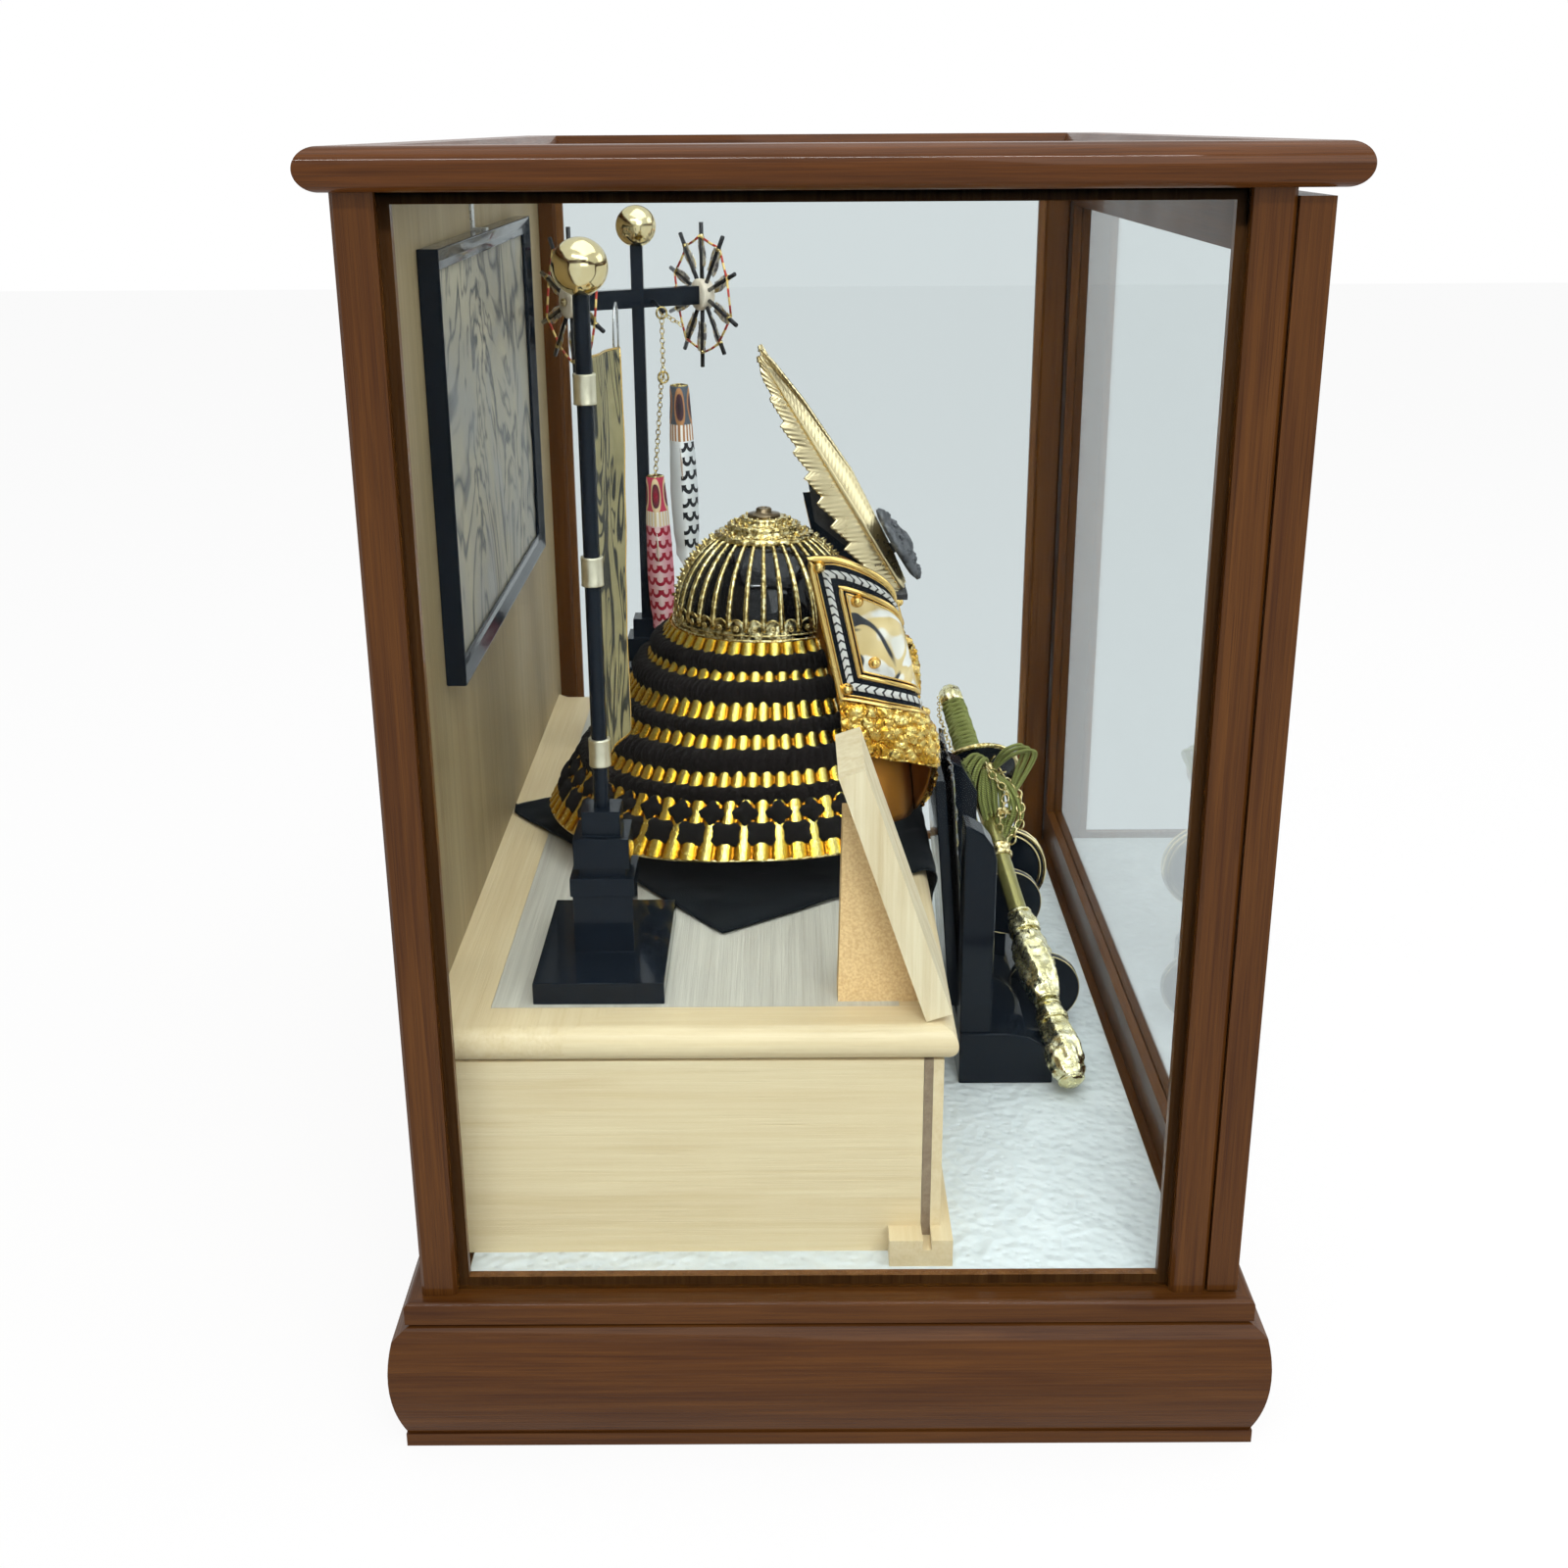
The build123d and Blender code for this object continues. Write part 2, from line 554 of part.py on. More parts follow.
# ---------------------------------------------------------------- the platform
def build_platform():
    border_mid_y = (PLATFORM_FRONT + PANEL_FACE) / 2
    half_y = (PANEL_FACE - PLATFORM_FRONT) / 2
    nose = PLATFORM_BOARD / 2
    foot = PLATFORM_TOP - PLATFORM_BOARD
    lip = PLATFORM_TOP - PLATFORM_PANEL
    inner_edge = -PLATFORM_BORDER - PLATFORM_LIP
    with BuildLine() as line:
        Line((inner_edge, foot), (-nose, foot))
        ThreePointArc((-nose, foot), (0, foot + nose), (-nose, PLATFORM_TOP))
        Polyline(
            (-nose, PLATFORM_TOP), (-PLATFORM_BORDER, PLATFORM_TOP), (-PLATFORM_BORDER, lip),
            (inner_edge, lip), (inner_edge, foot),
        )
    rounded = make_face(line.line)
    square = make_face(
        Polyline(
            (inner_edge, foot), (0, foot), (0, PLATFORM_TOP), (-PLATFORM_BORDER, PLATFORM_TOP),
            (-PLATFORM_BORDER, lip), (inner_edge, lip), close=True,
        )
    )
    front, _, left, right = frame_rails(rounded, PLATFORM_HALF_X, half_y, inner_edge, 1)
    back = Rot(0, 0, 180) * mitred_rail(square, PLATFORM_HALF_X, half_y, inner_edge, 1)
    back &= block(-PLATFORM_HALF_X, PLATFORM_HALF_X, 0, half_y, foot, PLATFORM_TOP)
    rails = [Pos(0, border_mid_y, 0) * rail for rail in (front, back, left, right)]
    sides = [rail & block(-POST_X, POST_X, -FACE_Y, PANEL_FACE, foot, PLATFORM_TOP) for rail in rails]
    keep("platform_top_rails", *sides)

    half_x = PLATFORM_HALF_X - PLATFORM_BORDER - GLASS_PLAY
    y0 = PLATFORM_FRONT + PLATFORM_BORDER + GLASS_PLAY
    y1 = PANEL_FACE - PLATFORM_BORDER - GLASS_PLAY
    keep("platform_panel", block(-half_x, half_x, y0, y1, lip, PLATFORM_TOP))

    notch = block(-POST_X, POST_X, *FOOT_RAIL, FLOOR_TOP - 1, FLOOR_TOP + FOOT_RAIL_HEIGHT)
    ends = []
    for side in (-1, 1):
        a, b = sorted((side * PLATFORM_END_X, side * (PLATFORM_END_X - PLATFORM_END_THICK)))
        board = block(a, b, PLATFORM_END_FRONT, PANEL_FACE - PLATFORM_BACK_GAP, FLOOR_TOP, foot)
        ends.append(board - notch)
    keep("platform_end_boards", *ends)

    facia_back = PLATFORM_END_FRONT - (FACIA_GROOVE - FACIA) / 2
    facia_front = facia_back - FACIA
    trim_back = PLATFORM_END_FRONT - FACIA_GROOVE
    rail_top = FLOOR_TOP + FOOT_RAIL_HEIGHT
    slot_depth = 5.0
    facia = block(-PLATFORM_END_X, PLATFORM_END_X, facia_front, facia_back, rail_top - slot_depth, foot)
    keep("platform_facia", facia)
    trims = []
    for side in (-1, 1):
        a, b = sorted((side * PLATFORM_END_X, side * (PLATFORM_END_X - 24)))
        trims.append(block(a, b, trim_back - FACIA_TRIM, facia_front, rail_top, foot))
    inner = PLATFORM_END_X - 24
    trims.append(block(-inner, inner, trim_back - FACIA_TRIM, facia_front, foot - 20, foot))
    keep("platform_facia_trim", *trims)
    rail = block(-FOOT_RAIL_HALF_X, FOOT_RAIL_HALF_X, *FOOT_RAIL, FLOOR_TOP, rail_top)
    rail -= block(-POST_X, POST_X, facia_front, facia_back, rail_top - slot_depth, rail_top + 1)
    keep("platform_foot_rail", rail)


# ---------------------------------------------------------------- the framed picture
def build_picture():
    half_z = PICTURE_HEIGHT / 2
    outline = make_face(
        Polyline(
            (-PICTURE_RAIL, 0), (0, 0), (0, PICTURE_THICK), (-PICTURE_RAIL + 4, PICTURE_THICK - 2.5),
            (-PICTURE_RAIL, PICTURE_THICK - 2.5), close=True,
        )
    )
    rails = frame_rails(outline, PICTURE_HALF_X, half_z, -PICTURE_RAIL, 1)
    panel_half_x = PICTURE_HALF_X - 4
    panel_half_z = half_z - 4
    panel = block(-panel_half_x, panel_half_x, -panel_half_z, panel_half_z, 2.5, 2.5 + PICTURE_PANEL)
    stand_up = Pos(0, PANEL_FACE, PICTURE_FOOT + half_z) * Rot(90, 0, 0)
    keep("picture_frame", *[stand_up * (rail - panel) for rail in rails])
    keep("picture_panel", stand_up * panel)
    hook_z = PICTURE_FOOT + PICTURE_HEIGHT
    plate = block(-4, 4, PANEL_FACE - 1.2, PANEL_FACE, hook_z, hook_z + 14)
    lug = block(-4, 4, PANEL_FACE - PICTURE_THICK + 2, PANEL_FACE - 1.2, hook_z, hook_z + 1.2)
    keep("picture_hanger", plate + lug)


# ---------------------------------------------------------------- the helmet
def build_cloth():
    half = CLOTH_SIDE / sqrt(2)
    points = []
    for quarter in range(4):
        angle = radians(180 + CLOTH_TURN + 90 * quarter)
        points.append((half * cos(angle), HELMET_Y + half * sin(angle)))
    square = extrude(make_face(Polyline(*points, close=True)), amount=CLOTH_THICK)
    top = Pos(0, 0, PLATFORM_TOP) * square
    room = block(-POST_X, POST_X, PLATFORM_FRONT - CLOTH_THICK, PANEL_FACE - 0.3, 0, CASE_HEIGHT)
    top &= room
    low_x, low_y = min(points, key=lambda p: p[1])
    drop = PLATFORM_FRONT - low_y
    flap_points = []
    for point in (points[0], points[2]):
        share = (PLATFORM_FRONT - low_y) / (point[1] - low_y)
        flap_points.append((low_x + (point[0] - low_x) * share, PLATFORM_TOP + CLOTH_THICK))
    flap_points.append((low_x, PLATFORM_TOP - drop))
    plane = Plane(origin=(0, PLATFORM_FRONT, 0), x_dir=(1, 0, 0), z_dir=(0, -1, 0))
    flap = extrude(plane * make_face(Polyline(*flap_points, close=True)), amount=CLOTH_THICK)
    keep("helmet_cloth", top + flap)


def build_pedestal():
    foot = PLATFORM_TOP + CLOTH_THICK
    body = Pos(0, HELMET_Y, foot) * Box(
        2 * PEDESTAL_HALF, 2 * PEDESTAL_HALF, PEDESTAL_TOP - foot, align=ON_FLOOR
    )
    cap = rod(0, HELMET_Y, PEDESTAL_TOP, BOWL_CROWN - BOWL_WALL - 2.2, 12)
    keep("helmet_pedestal", body + cap)


def ring(profile):
    """A full turn of a section given in radius and height, about the helmet's axis."""
    face = make_face(Polyline(*profile, close=True))
    plane = Plane(origin=(0, HELMET_Y, 0), x_dir=(1, 0, 0), z_dir=(0, -1, 0))
    return revolve(plane * face, axis=Axis((0, HELMET_Y, 0), (0, 0, 1)), revolution_arc=360)


def build_bowl():
    rise = BOWL_CROWN - BOWL_RIM
    inner = BOWL_RADIUS - BOWL_WALL
    plane = Plane(origin=(0, HELMET_Y, 0), x_dir=(1, 0, 0), z_dir=(0, -1, 0))
    with BuildLine() as outer_half:
        Line((0, BOWL_RIM), (BOWL_RADIUS, BOWL_RIM))
        Spline(
            (BOWL_RADIUS, BOWL_RIM), (0.93 * BOWL_RADIUS, BOWL_RIM + 0.45 * rise),
            (0.68 * BOWL_RADIUS, BOWL_RIM + 0.8 * rise), (0, BOWL_CROWN),
            tangents=((0, 1), (-1, 0)),
        )
        Line((0, BOWL_CROWN), (0, BOWL_RIM))
    with BuildLine() as line:
        Line((inner, BOWL_RIM), (BOWL_RADIUS, BOWL_RIM))
        Spline(
            (BOWL_RADIUS, BOWL_RIM), (0.93 * BOWL_RADIUS, BOWL_RIM + 0.45 * rise),
            (0.68 * BOWL_RADIUS, BOWL_RIM + 0.8 * rise), (0, BOWL_CROWN),
            tangents=((0, 1), (-1, 0)),
        )
        Line((0, BOWL_CROWN), (0, BOWL_CROWN - BOWL_WALL))
        Spline(
            (0, BOWL_CROWN - BOWL_WALL), (0.68 * inner, BOWL_RIM + 0.8 * (rise - BOWL_WALL)),
            (0.93 * inner, BOWL_RIM + 0.45 * (rise - BOWL_WALL)), (inner, BOWL_RIM),
            tangents=((1, 0), (0, -1)),
        )
    section = plane * make_face(line.line)
    bowl = revolve(section, axis=Axis((0, HELMET_Y, 0), (0, 0, 1)), revolution_arc=360)
    band_out = BOWL_RADIUS + 2.2
    band = ring(
        [
            (BOWL_RADIUS + 0.4, BOWL_RIM - 2), (band_out, BOWL_RIM - 2), (band_out, BOWL_RIM + BAND_HEIGHT),
            (BOWL_RADIUS + 0.4, BOWL_RIM + BAND_HEIGHT),
        ]
    )
    seat = ring(
        [
            (inner - 1, BOWL_RIM - 4), (band_out, BOWL_RIM - 4), (band_out, BOWL_RIM - 2),
            (BOWL_RADIUS + 0.4, BOWL_RIM - 2),
            (BOWL_RADIUS + 0.4, BOWL_RIM), (inner - 1, BOWL_RIM),
        ]
    )
    helmet_axis = Axis((0, HELMET_Y, 0), (0, 0, 1))
    dome = revolve(plane * make_face(outer_half.line), axis=helmet_axis, revolution_arc=360)
    keep("helmet_bowl", bowl)
    keep("bowl_band", band + seat)
    crown = BOWL_CROWN + 0.2
    fitting = [
        (0, crown), (CROWN_PLATE, crown - 8), (CROWN_PLATE, crown - 5), (12, crown + 4),
        (5, crown + 7), (0, crown + 7),
    ]
    button = rod(0, HELMET_Y, crown + 7, crown + 11, 3.5)
    keep("crown_fitting", (ring(fitting) + button) - dome)


def build_neck_guard():
    """Overlapping lames: open truncated cones, each hanging inside the one above."""
    centre = (0, HELMET_Y + GUARD_BACK)
    top = BOWL_RIM - 4.3
    rise = (top - GUARD_FOOT) / LAMES
    spread = (GUARD_FOOT_RADIUS - GUARD_TOP_RADIUS) / LAMES
    axis = Axis((centre[0], centre[1], 0), (0, 0, 1))
    start = -90 + GUARD_OPENING / 2
    lames = []
    for index in range(LAMES):
        z_top = top - index * rise
        r_top = GUARD_TOP_RADIUS + index * spread
        z_foot = z_top - rise + 0.4
        r_foot = r_top + spread
        plane = Plane(origin=(centre[0], centre[1], 0), x_dir=(1, 0, 0), z_dir=(0, -1, 0))
        face = make_face(
            Polyline(
                (r_top - LAME_THICK, z_top), (r_top, z_top), (r_foot, z_foot), (r_foot - LAME_THICK, z_foot),
                close=True,
            )
        )
        shell = revolve(plane * face, axis=axis, revolution_arc=360 - GUARD_OPENING)
        lames.append(Pos(*centre, 0) * Rot(0, 0, start) * Pos(-centre[0], -centre[1], 0) * shell)
    keep("neck_guard_lames", *lames)


def guard_end(side):
    """Plan point just in front of a front end of the upper lames."""
    radius = GUARD_TOP_RADIUS + (GUARD_FOOT_RADIUS - GUARD_TOP_RADIUS) / LAMES - LAME_THICK / 2
    angle = radians(GUARD_OPENING / 2)
    x = radius * sin(angle) - WING_JOINT * cos(angle)
    y = HELMET_Y + GUARD_BACK - radius * cos(angle) - WING_JOINT * sin(angle)
    return side * x, y


def wing_wall(side, tail_y):
    """Plan of a turned-back plate: inner end, rolled nose towards the front, outer leaf to the tail."""
    nose_start = (side * (WING_REACH - 24), HELMET_Y - 74)
    nose_mid = (side * (WING_REACH - 10), HELMET_Y - 84)
    nose_end = (side * WING_REACH, HELMET_Y - 70)
    with BuildLine() as spine:
        Line(guard_end(side), nose_start)
        ThreePointArc(nose_start, nose_mid, nose_end)
        Line(nose_end, (side * (WING_REACH + 2), tail_y))
    return trace(spine.line, WING_THICK)


def build_wings():
    """Side plates at the front ends of the neck guard, a tall leaf above a shorter rolled curl."""
    wings = []
    for side in (-1, 1):
        leaf = extrude(wing_wall(side, HELMET_Y - 22), amount=WING_TOP - WING_LEAF_FOOT)
        curl = extrude(wing_wall(side, HELMET_Y - 50), amount=WING_LEAF_FOOT - WING_CURL_FOOT)
        wings.append(Pos(0, 0, WING_LEAF_FOOT) * leaf + Pos(0, 0, WING_CURL_FOOT) * curl)
    keep("side_wings", *wings)


def crest_leaf(side):
    """One feather-shaped plate of the crest, leaning back and turned half sideways."""
    lean = radians(CREST_LEAN)
    along = Vector(side * CREST_SPREAD, sin(lean), cos(lean)).normalized()
    across = Vector(side * CREST_SKEW, 1 - CREST_SKEW, 0)
    across = (across - along * across.dot(along)).normalized()
    foot = Vector(side * CREST_FOOT_X, CREST_FOOT_Y, CREST_FOOT)
    plane = Plane(origin=foot, x_dir=across, z_dir=across.cross(along))
    outline = [(reach * CREST_HALF, share * CREST_LENGTH) for reach, share in CREST_OUTLINE]
    return extrude(plane * make_face(Polyline(*outline, close=True)), amount=-side * CREST_THICK)


def build_brim_and_crest():
    """Peak over the brow, the crest plate that stands on it, its backing and its boss."""
    peak = rod(0, HELMET_Y, BOWL_RIM - 8, BOWL_RIM - 6, BOWL_RADIUS + 16)
    peak -= rod(0, HELMET_Y, BOWL_RIM - 9, BOWL_RIM + 4, BOWL_RADIUS - 6)
    peak &= block(-38, 38, -POST_X, HELMET_Y - 30, 0, CASE_HEIGHT)
    rim = rod(0, HELMET_Y, BOWL_RIM - 6, BOWL_RIM - 4, BOWL_RADIUS + 2)
    rim -= rod(0, HELMET_Y, BOWL_RIM - 7, BOWL_RIM, BOWL_RADIUS - 6)
    rim &= block(-38, 38, -POST_X, HELMET_Y - 30, 0, CASE_HEIGHT)
    keep("brow_peak", peak + rim)

    keep("crest_plate", crest_leaf(-1), crest_leaf(1))
    rise = (cos(radians(CREST_LEAN)), sin(radians(CREST_LEAN)))
    boss_y = CREST_FOOT_Y + BOSS_RISE * rise[1]
    boss_z = CREST_FOOT + BOSS_RISE * rise[0]
    front = Plane(origin=(0, boss_y, boss_z), x_dir=(1, 0, 0), z_dir=(0, -rise[0], rise[1]))
    disc = extrude(front.offset(BOSS_STAND) * Circle(BOSS_RADIUS), amount=BOSS_THICK)

    side = Plane(origin=(-CREST_CARD / 2, 0, 0), x_dir=(0, 1, 0), z_dir=(1, 0, 0))
    card = extrude(side * make_face(Polyline(*CREST_CARD_OUTLINE, close=True)), amount=CREST_CARD)
    stem_back = front.offset(-BOSS_STEM_BACK)
    boss_stem = extrude(stem_back * Circle(BOSS_STEM), amount=BOSS_STEM_BACK + BOSS_STAND + 0.5)
    keep("crest_boss", disc + boss_stem - card)
    leg_y = HELMET_Y - BOWL_RADIUS - 6
    foot_top = CREST_FOOT - CREST_SEAT
    stem = block(-14, 14, CREST_FOOT_Y - 3, CREST_FOOT_Y + 4, foot_top - 3, foot_top)
    stem += block(-3, 3, CREST_FOOT_Y, leg_y + 3, foot_top - 3, foot_top)
    leg = block(-3, 3, leg_y, leg_y + 3, BOWL_RIM - 6, foot_top)
    keep("crest_backing", card + stem + leg)


# ---------------------------------------------------------------- the name plaque
def build_plaque():
    foot = Plane(
        origin=(PLAQUE_X, PLAQUE_FOOT_Y, PLATFORM_TOP), x_dir=(1, 0, 0),
        z_dir=(0, -cos(radians(PLAQUE_LEAN)), sin(radians(PLAQUE_LEAN))),
    )
    board = foot * Box(PLAQUE_WIDTH, PLAQUE_HEIGHT, PLAQUE_THICK, align=(Align.CENTER, Align.MIN, Align.MIN))
    above = block(-POST_X, POST_X, -FACE_Y, FACE_Y, PLATFORM_TOP, TOP_Z)
    keep("plaque_board", board & above)

    rise = PLAQUE_HEIGHT * cos(radians(PLAQUE_LEAN)) * 0.78
    shift = rise * sin(radians(PLAQUE_LEAN)) / cos(radians(PLAQUE_LEAN))
    side = Plane(origin=(PLAQUE_X - PLAQUE_EASEL / 2, 0, 0), x_dir=(0, 1, 0), z_dir=(1, 0, 0))
    wedge_points = [
        (PLAQUE_FOOT_Y, PLATFORM_TOP), (PLAQUE_FOOT_Y + shift, PLATFORM_TOP + rise),
        (PLAQUE_FOOT_Y + shift + 6, PLATFORM_TOP + rise), (PLAQUE_FOOT_Y + shift + 8, PLATFORM_TOP),
    ]
    wedge = extrude(side * make_face(Polyline(*wedge_points, close=True)), amount=PLAQUE_EASEL)
    keep("plaque_easel", wedge)


# ---------------------------------------------------------------- the flag stand
def stepped_stand(x, y, base, tiers):
    """A lacquered base plate with square tiers stacked on it, each given by half size and height."""
    width, depth, height = base
    solid = Pos(x, y, PLATFORM_TOP) * Box(width, depth, height, align=ON_FLOOR)
    level = PLATFORM_TOP + height
    for half, rise in tiers:
        solid += Pos(x, y, level) * Box(2 * half, 2 * half, rise, align=ON_FLOOR)
        level += rise
    return solid, level


def build_flag_stand():
    base, level = stepped_stand(FLAG_X, FLAG_Y, FLAG_BASE, FLAG_TIERS)
    socket_foot = level - 12.0
    base -= rod(FLAG_X, FLAG_Y, socket_foot, level + 1, FLAG_POLE)
    keep("flag_base", base)
    keep("flag_pole", rod(FLAG_X, FLAG_Y, socket_foot, FLAG_POLE_TOP, FLAG_POLE))
    ball = Pos(FLAG_X, FLAG_Y, FLAG_POLE_TOP + BALL_RADIUS - 0.8) * Sphere(BALL_RADIUS)
    PIECES["flag_ball"] = ball - rod(FLAG_X, FLAG_Y, 0, FLAG_POLE_TOP, FLAG_POLE)
    bands = []
    for height in FLAG_BANDS:
        collar = rod(FLAG_X, FLAG_Y, height, height + BAND_LENGTH, BAND_RADIUS)
        bands.append(collar - rod(FLAG_X, FLAG_Y, height - 1, height + BAND_LENGTH + 1, FLAG_POLE))
    keep("flag_bands", *bands)
    start = BAND_RADIUS
    half = FLAG_THICK / 2
    cloth = block(start, start + FLAG_WIDTH, -half, half, FLAG_TOP - FLAG_HEIGHT, FLAG_TOP)
    cloth = Pos(FLAG_X, FLAG_Y, 0) * Rot(0, 0, FLAG_TURN) * cloth
    for collar in bands:
        cloth -= collar
    keep("flag_cloth", cloth)


# ---------------------------------------------------------------- the carp-streamer stand
def arm_frame():
    """Local frame of the cross arm: +X runs along it towards the front wheel."""
    return Pos(CARP_X, CARP_Y, ARM_Z) * Rot(0, 0, ARM_TURN)


def build_carp_stand():
    base, level = stepped_stand(CARP_X, CARP_Y, CARP_BASE, CARP_TIERS)
    half = CARP_POLE / 2
    foot = level - 12.0
    socket = block(CARP_X - half, CARP_X + half, CARP_Y - half, CARP_Y + half, foot, level + 1)
    keep("carp_base", base - socket)
    pole = block(CARP_X - half, CARP_X + half, CARP_Y - half, CARP_Y + half, foot, CARP_POLE_TOP)
    arm = Box(2 * ARM_HALF, ARM_SECTION[0], ARM_SECTION[1])
    axles = []
    for end in (-1, 1):
        reach = ARM_HALF + HUB_GAP + HUB_THICK + 2.0
        axle = Rot(0, 90, 0) * Cylinder(AXLE_RADIUS, reach - ARM_HALF + 8, align=ON_FLOOR)
        axles.append(Pos(end * (ARM_HALF - 8), 0, 0) * (axle if end > 0 else Rot(0, 0, 180) * axle))
    for axle in axles:
        arm -= axle
    arm = arm_frame() * arm
    keep("carp_arm", arm)
    keep("carp_pole", pole - arm)
    heads = []
    for end, axle in zip((-1, 1), axles):
        head = Rot(0, 90, 0) * Cylinder(2.4, 1.4, align=ON_FLOOR)
        reach = ARM_HALF + HUB_GAP + HUB_THICK + HUB_GAP
        head = Pos(reach, 0, 0) * head
        if end < 0:
            head = Rot(0, 0, 180) * head
        heads.append(arm_frame() * (axle + head))
    keep("wheel_axles", *heads)
    ball = Pos(CARP_X, CARP_Y, CARP_POLE_TOP + BALL_RADIUS - 1.2) * Sphere(BALL_RADIUS)
    keep("pole_balls", PIECES.pop("flag_ball"), ball - pole)
    for name, end in (("back", -1), ("front", 1)):
        wheel = wind_wheel() if end > 0 else Rot(0, 0, 180) * wind_wheel()
        keep(name + "_wind_wheel", arm_frame() * wheel)


def wind_wheel():
    """A hub with radiating arrows, its axle along local X."""
    hub = Rot(0, 90, 0) * Cylinder(HUB_RADIUS, HUB_THICK, align=ON_FLOOR)
    wheel = hub
    middle = HUB_THICK / 2
    for index in range(SPOKES):
        arrow = Pos(middle, 0, 0) * Box(SPOKE_SIZE, SPOKE_SIZE, SPOKE_LENGTH, align=ON_FLOOR)
        vane = Box(VANE_THICK, VANE_WIDTH, VANE_SHARE * SPOKE_LENGTH, align=ON_FLOOR)
        vane = Pos(middle, 0, VANE_START * SPOKE_LENGTH) * vane
        wheel += Rot(index * 360 / SPOKES, 0, 0) * (arrow + vane)
    wheel = Pos(ARM_HALF + HUB_GAP, 0, 0) * wheel
    bore = Rot(0, 90, 0) * Cylinder(AXLE_RADIUS + AXLE_PLAY, 4 * HUB_THICK)
    return wheel - Pos(ARM_HALF, 0, 0) * bore


def build_streamers():
    """Hanger peg, chain and the two carp, simple closed bodies."""
    x, y = CARP_HANG
    arm_point = (arm_frame() * Pos(8.0, -ARM_SECTION[0] / 2, -2.0)).position
    peg = bar_between(arm_point, Vector(x, y, ARM_Z - 5.0), 1.3)
    chain = rod(x, y, CARP_TOP, ARM_Z - 6.4, 1.1)
    link = bar_between(Vector(x, y, CARP_TOP + 6), Vector(x, y + 8, RED_CARP_TOP + 0.4), 1.0)
    keep("streamer_chain", chain + link, peg - PIECES["carp_arm"])
    black = carp_body(x, y - 6.9, CARP_TOP - 0.3, CARP_LENGTH)
    red = carp_body(x + 2, y + 11, RED_CARP_TOP - 0.3, CARP_LENGTH - 8)
    keep("carp_streamers", black, red)


def carp_body(x, y, top, length):
    """A flattened tube of cloth, closed, that tapers towards the tail."""
    mouth = Pos(x, y, top) * Ellipse(8.0, 6.0)
    belly = Pos(x, y, top - 0.35 * length) * Ellipse(9.0, 8.0)
    waist = Pos(x, y, top - 0.85 * length) * Ellipse(5.0, 3.5)
    tail = Pos(x, y, top - length) * Ellipse(9.0, 4.0)
    return loft([mouth, belly, waist, tail])


# ---------------------------------------------------------------- the sword and its stand
def sword_axis():
    """Unit direction of the sword and the point where scabbard and guard meet."""
    way = (SWORD_END - SWORD_TIP).normalized()
    return way, SWORD_TIP + way * ((SWORD_END - SWORD_TIP).length * SCABBARD_SHARE)


def build_sword():
    way, joint = sword_axis()
    scabbard = bar_between(SWORD_TIP, joint, SCABBARD_RADIUS)
    disc = bar_between(joint, joint + way * GUARD_THICK, GUARD_DISC)
    hilt = bar_between(joint + way * GUARD_THICK, SWORD_END, HILT_RADIUS)
    keep("sword_scabbard", scabbard)
    keep("sword_guard", disc)
    keep("sword_hilt", hilt)


def side_plate(outline, x0, thick):
    """A plate upright in the YZ plane, from its outline in Y and Z."""
    plane = Plane(origin=(x0, 0, 0), x_dir=(0, 1, 0), z_dir=(1, 0, 0))
    return extrude(plane * outline, amount=thick)


def build_sword_stand():
    """Lacquered base block, stepped uprights, round brackets and a leaning back board."""
    x0, x1 = STAND_X
    y0, y1 = STAND_Y
    rise = STAND_FOOT_HEIGHT
    section = Polyline(
        (y0, FLOOR_TOP), (y0, FLOOR_TOP + 0.4 * rise), (y0 + 7, FLOOR_TOP + 0.8 * rise),
        (y0 + 24, FLOOR_TOP + rise), (y1, FLOOR_TOP + rise), (y1, FLOOR_TOP), close=True,
    )
    stand = side_plate(make_face(section), x0, x1 - x0)
    top = FLOOR_TOP + rise - 1
    step_y = y1 - UPRIGHT_STEP - UPRIGHT_DEPTH
    upright = Polyline(
        (step_y, top), (step_y, UPRIGHT_STEP_TOP), (y1 - UPRIGHT_DEPTH, UPRIGHT_STEP_TOP + 3),
        (y1 - UPRIGHT_DEPTH, UPRIGHT_TOP - 20), (y1 - 8, UPRIGHT_TOP - 4), (y1, UPRIGHT_TOP), (y1, top),
        close=True,
    )
    for x in UPRIGHT_X:
        stand += side_plate(make_face(upright), x, UPRIGHT_WIDTH)
    for x, y, z, radius in ROUND_BRACKETS:
        disc = Pos(y, z) * Circle(radius)
        stand += side_plate(disc, x, BRACKET_THICK)
        stand += block(x, x + BRACKET_THICK, y, y1 - 5, FLOOR_TOP, z + 0.3 * radius)
    board = Polyline(
        (y1 - 3, top), (y1 + 3, top), (y1 + 3 + BACK_LEAN, BACK_BOARD_TOP),
        (y1 - 3 + BACK_LEAN, BACK_BOARD_TOP), close=True,
    )
    stand += side_plate(make_face(board), BACK_BOARD_X[0], BACK_BOARD_X[1] - BACK_BOARD_X[0])
    way, joint = sword_axis()
    stand -= bar_between(SWORD_TIP - way * 9, joint + way * 9, SCABBARD_RADIUS + SCABBARD_PLAY)
    stand -= bar_between(joint - way * 1.5, joint + way * (GUARD_THICK + 1.5), GUARD_DISC + 1.5)
    keep("sword_stand", stand)


build_plinth()
build_floor()
build_posts()
build_top()
build_glazing()
build_screws()
build_door()
build_platform()
build_picture()
build_cloth()
build_pedestal()
build_bowl()
build_neck_guard()
build_wings()
build_brim_and_crest()
build_plaque()
build_flag_stand()
build_carp_stand()
build_streamers()
build_sword()
build_sword_stand()

for name, shape in PIECES.items():
    export_step(shape, f"parts/{name}.step")
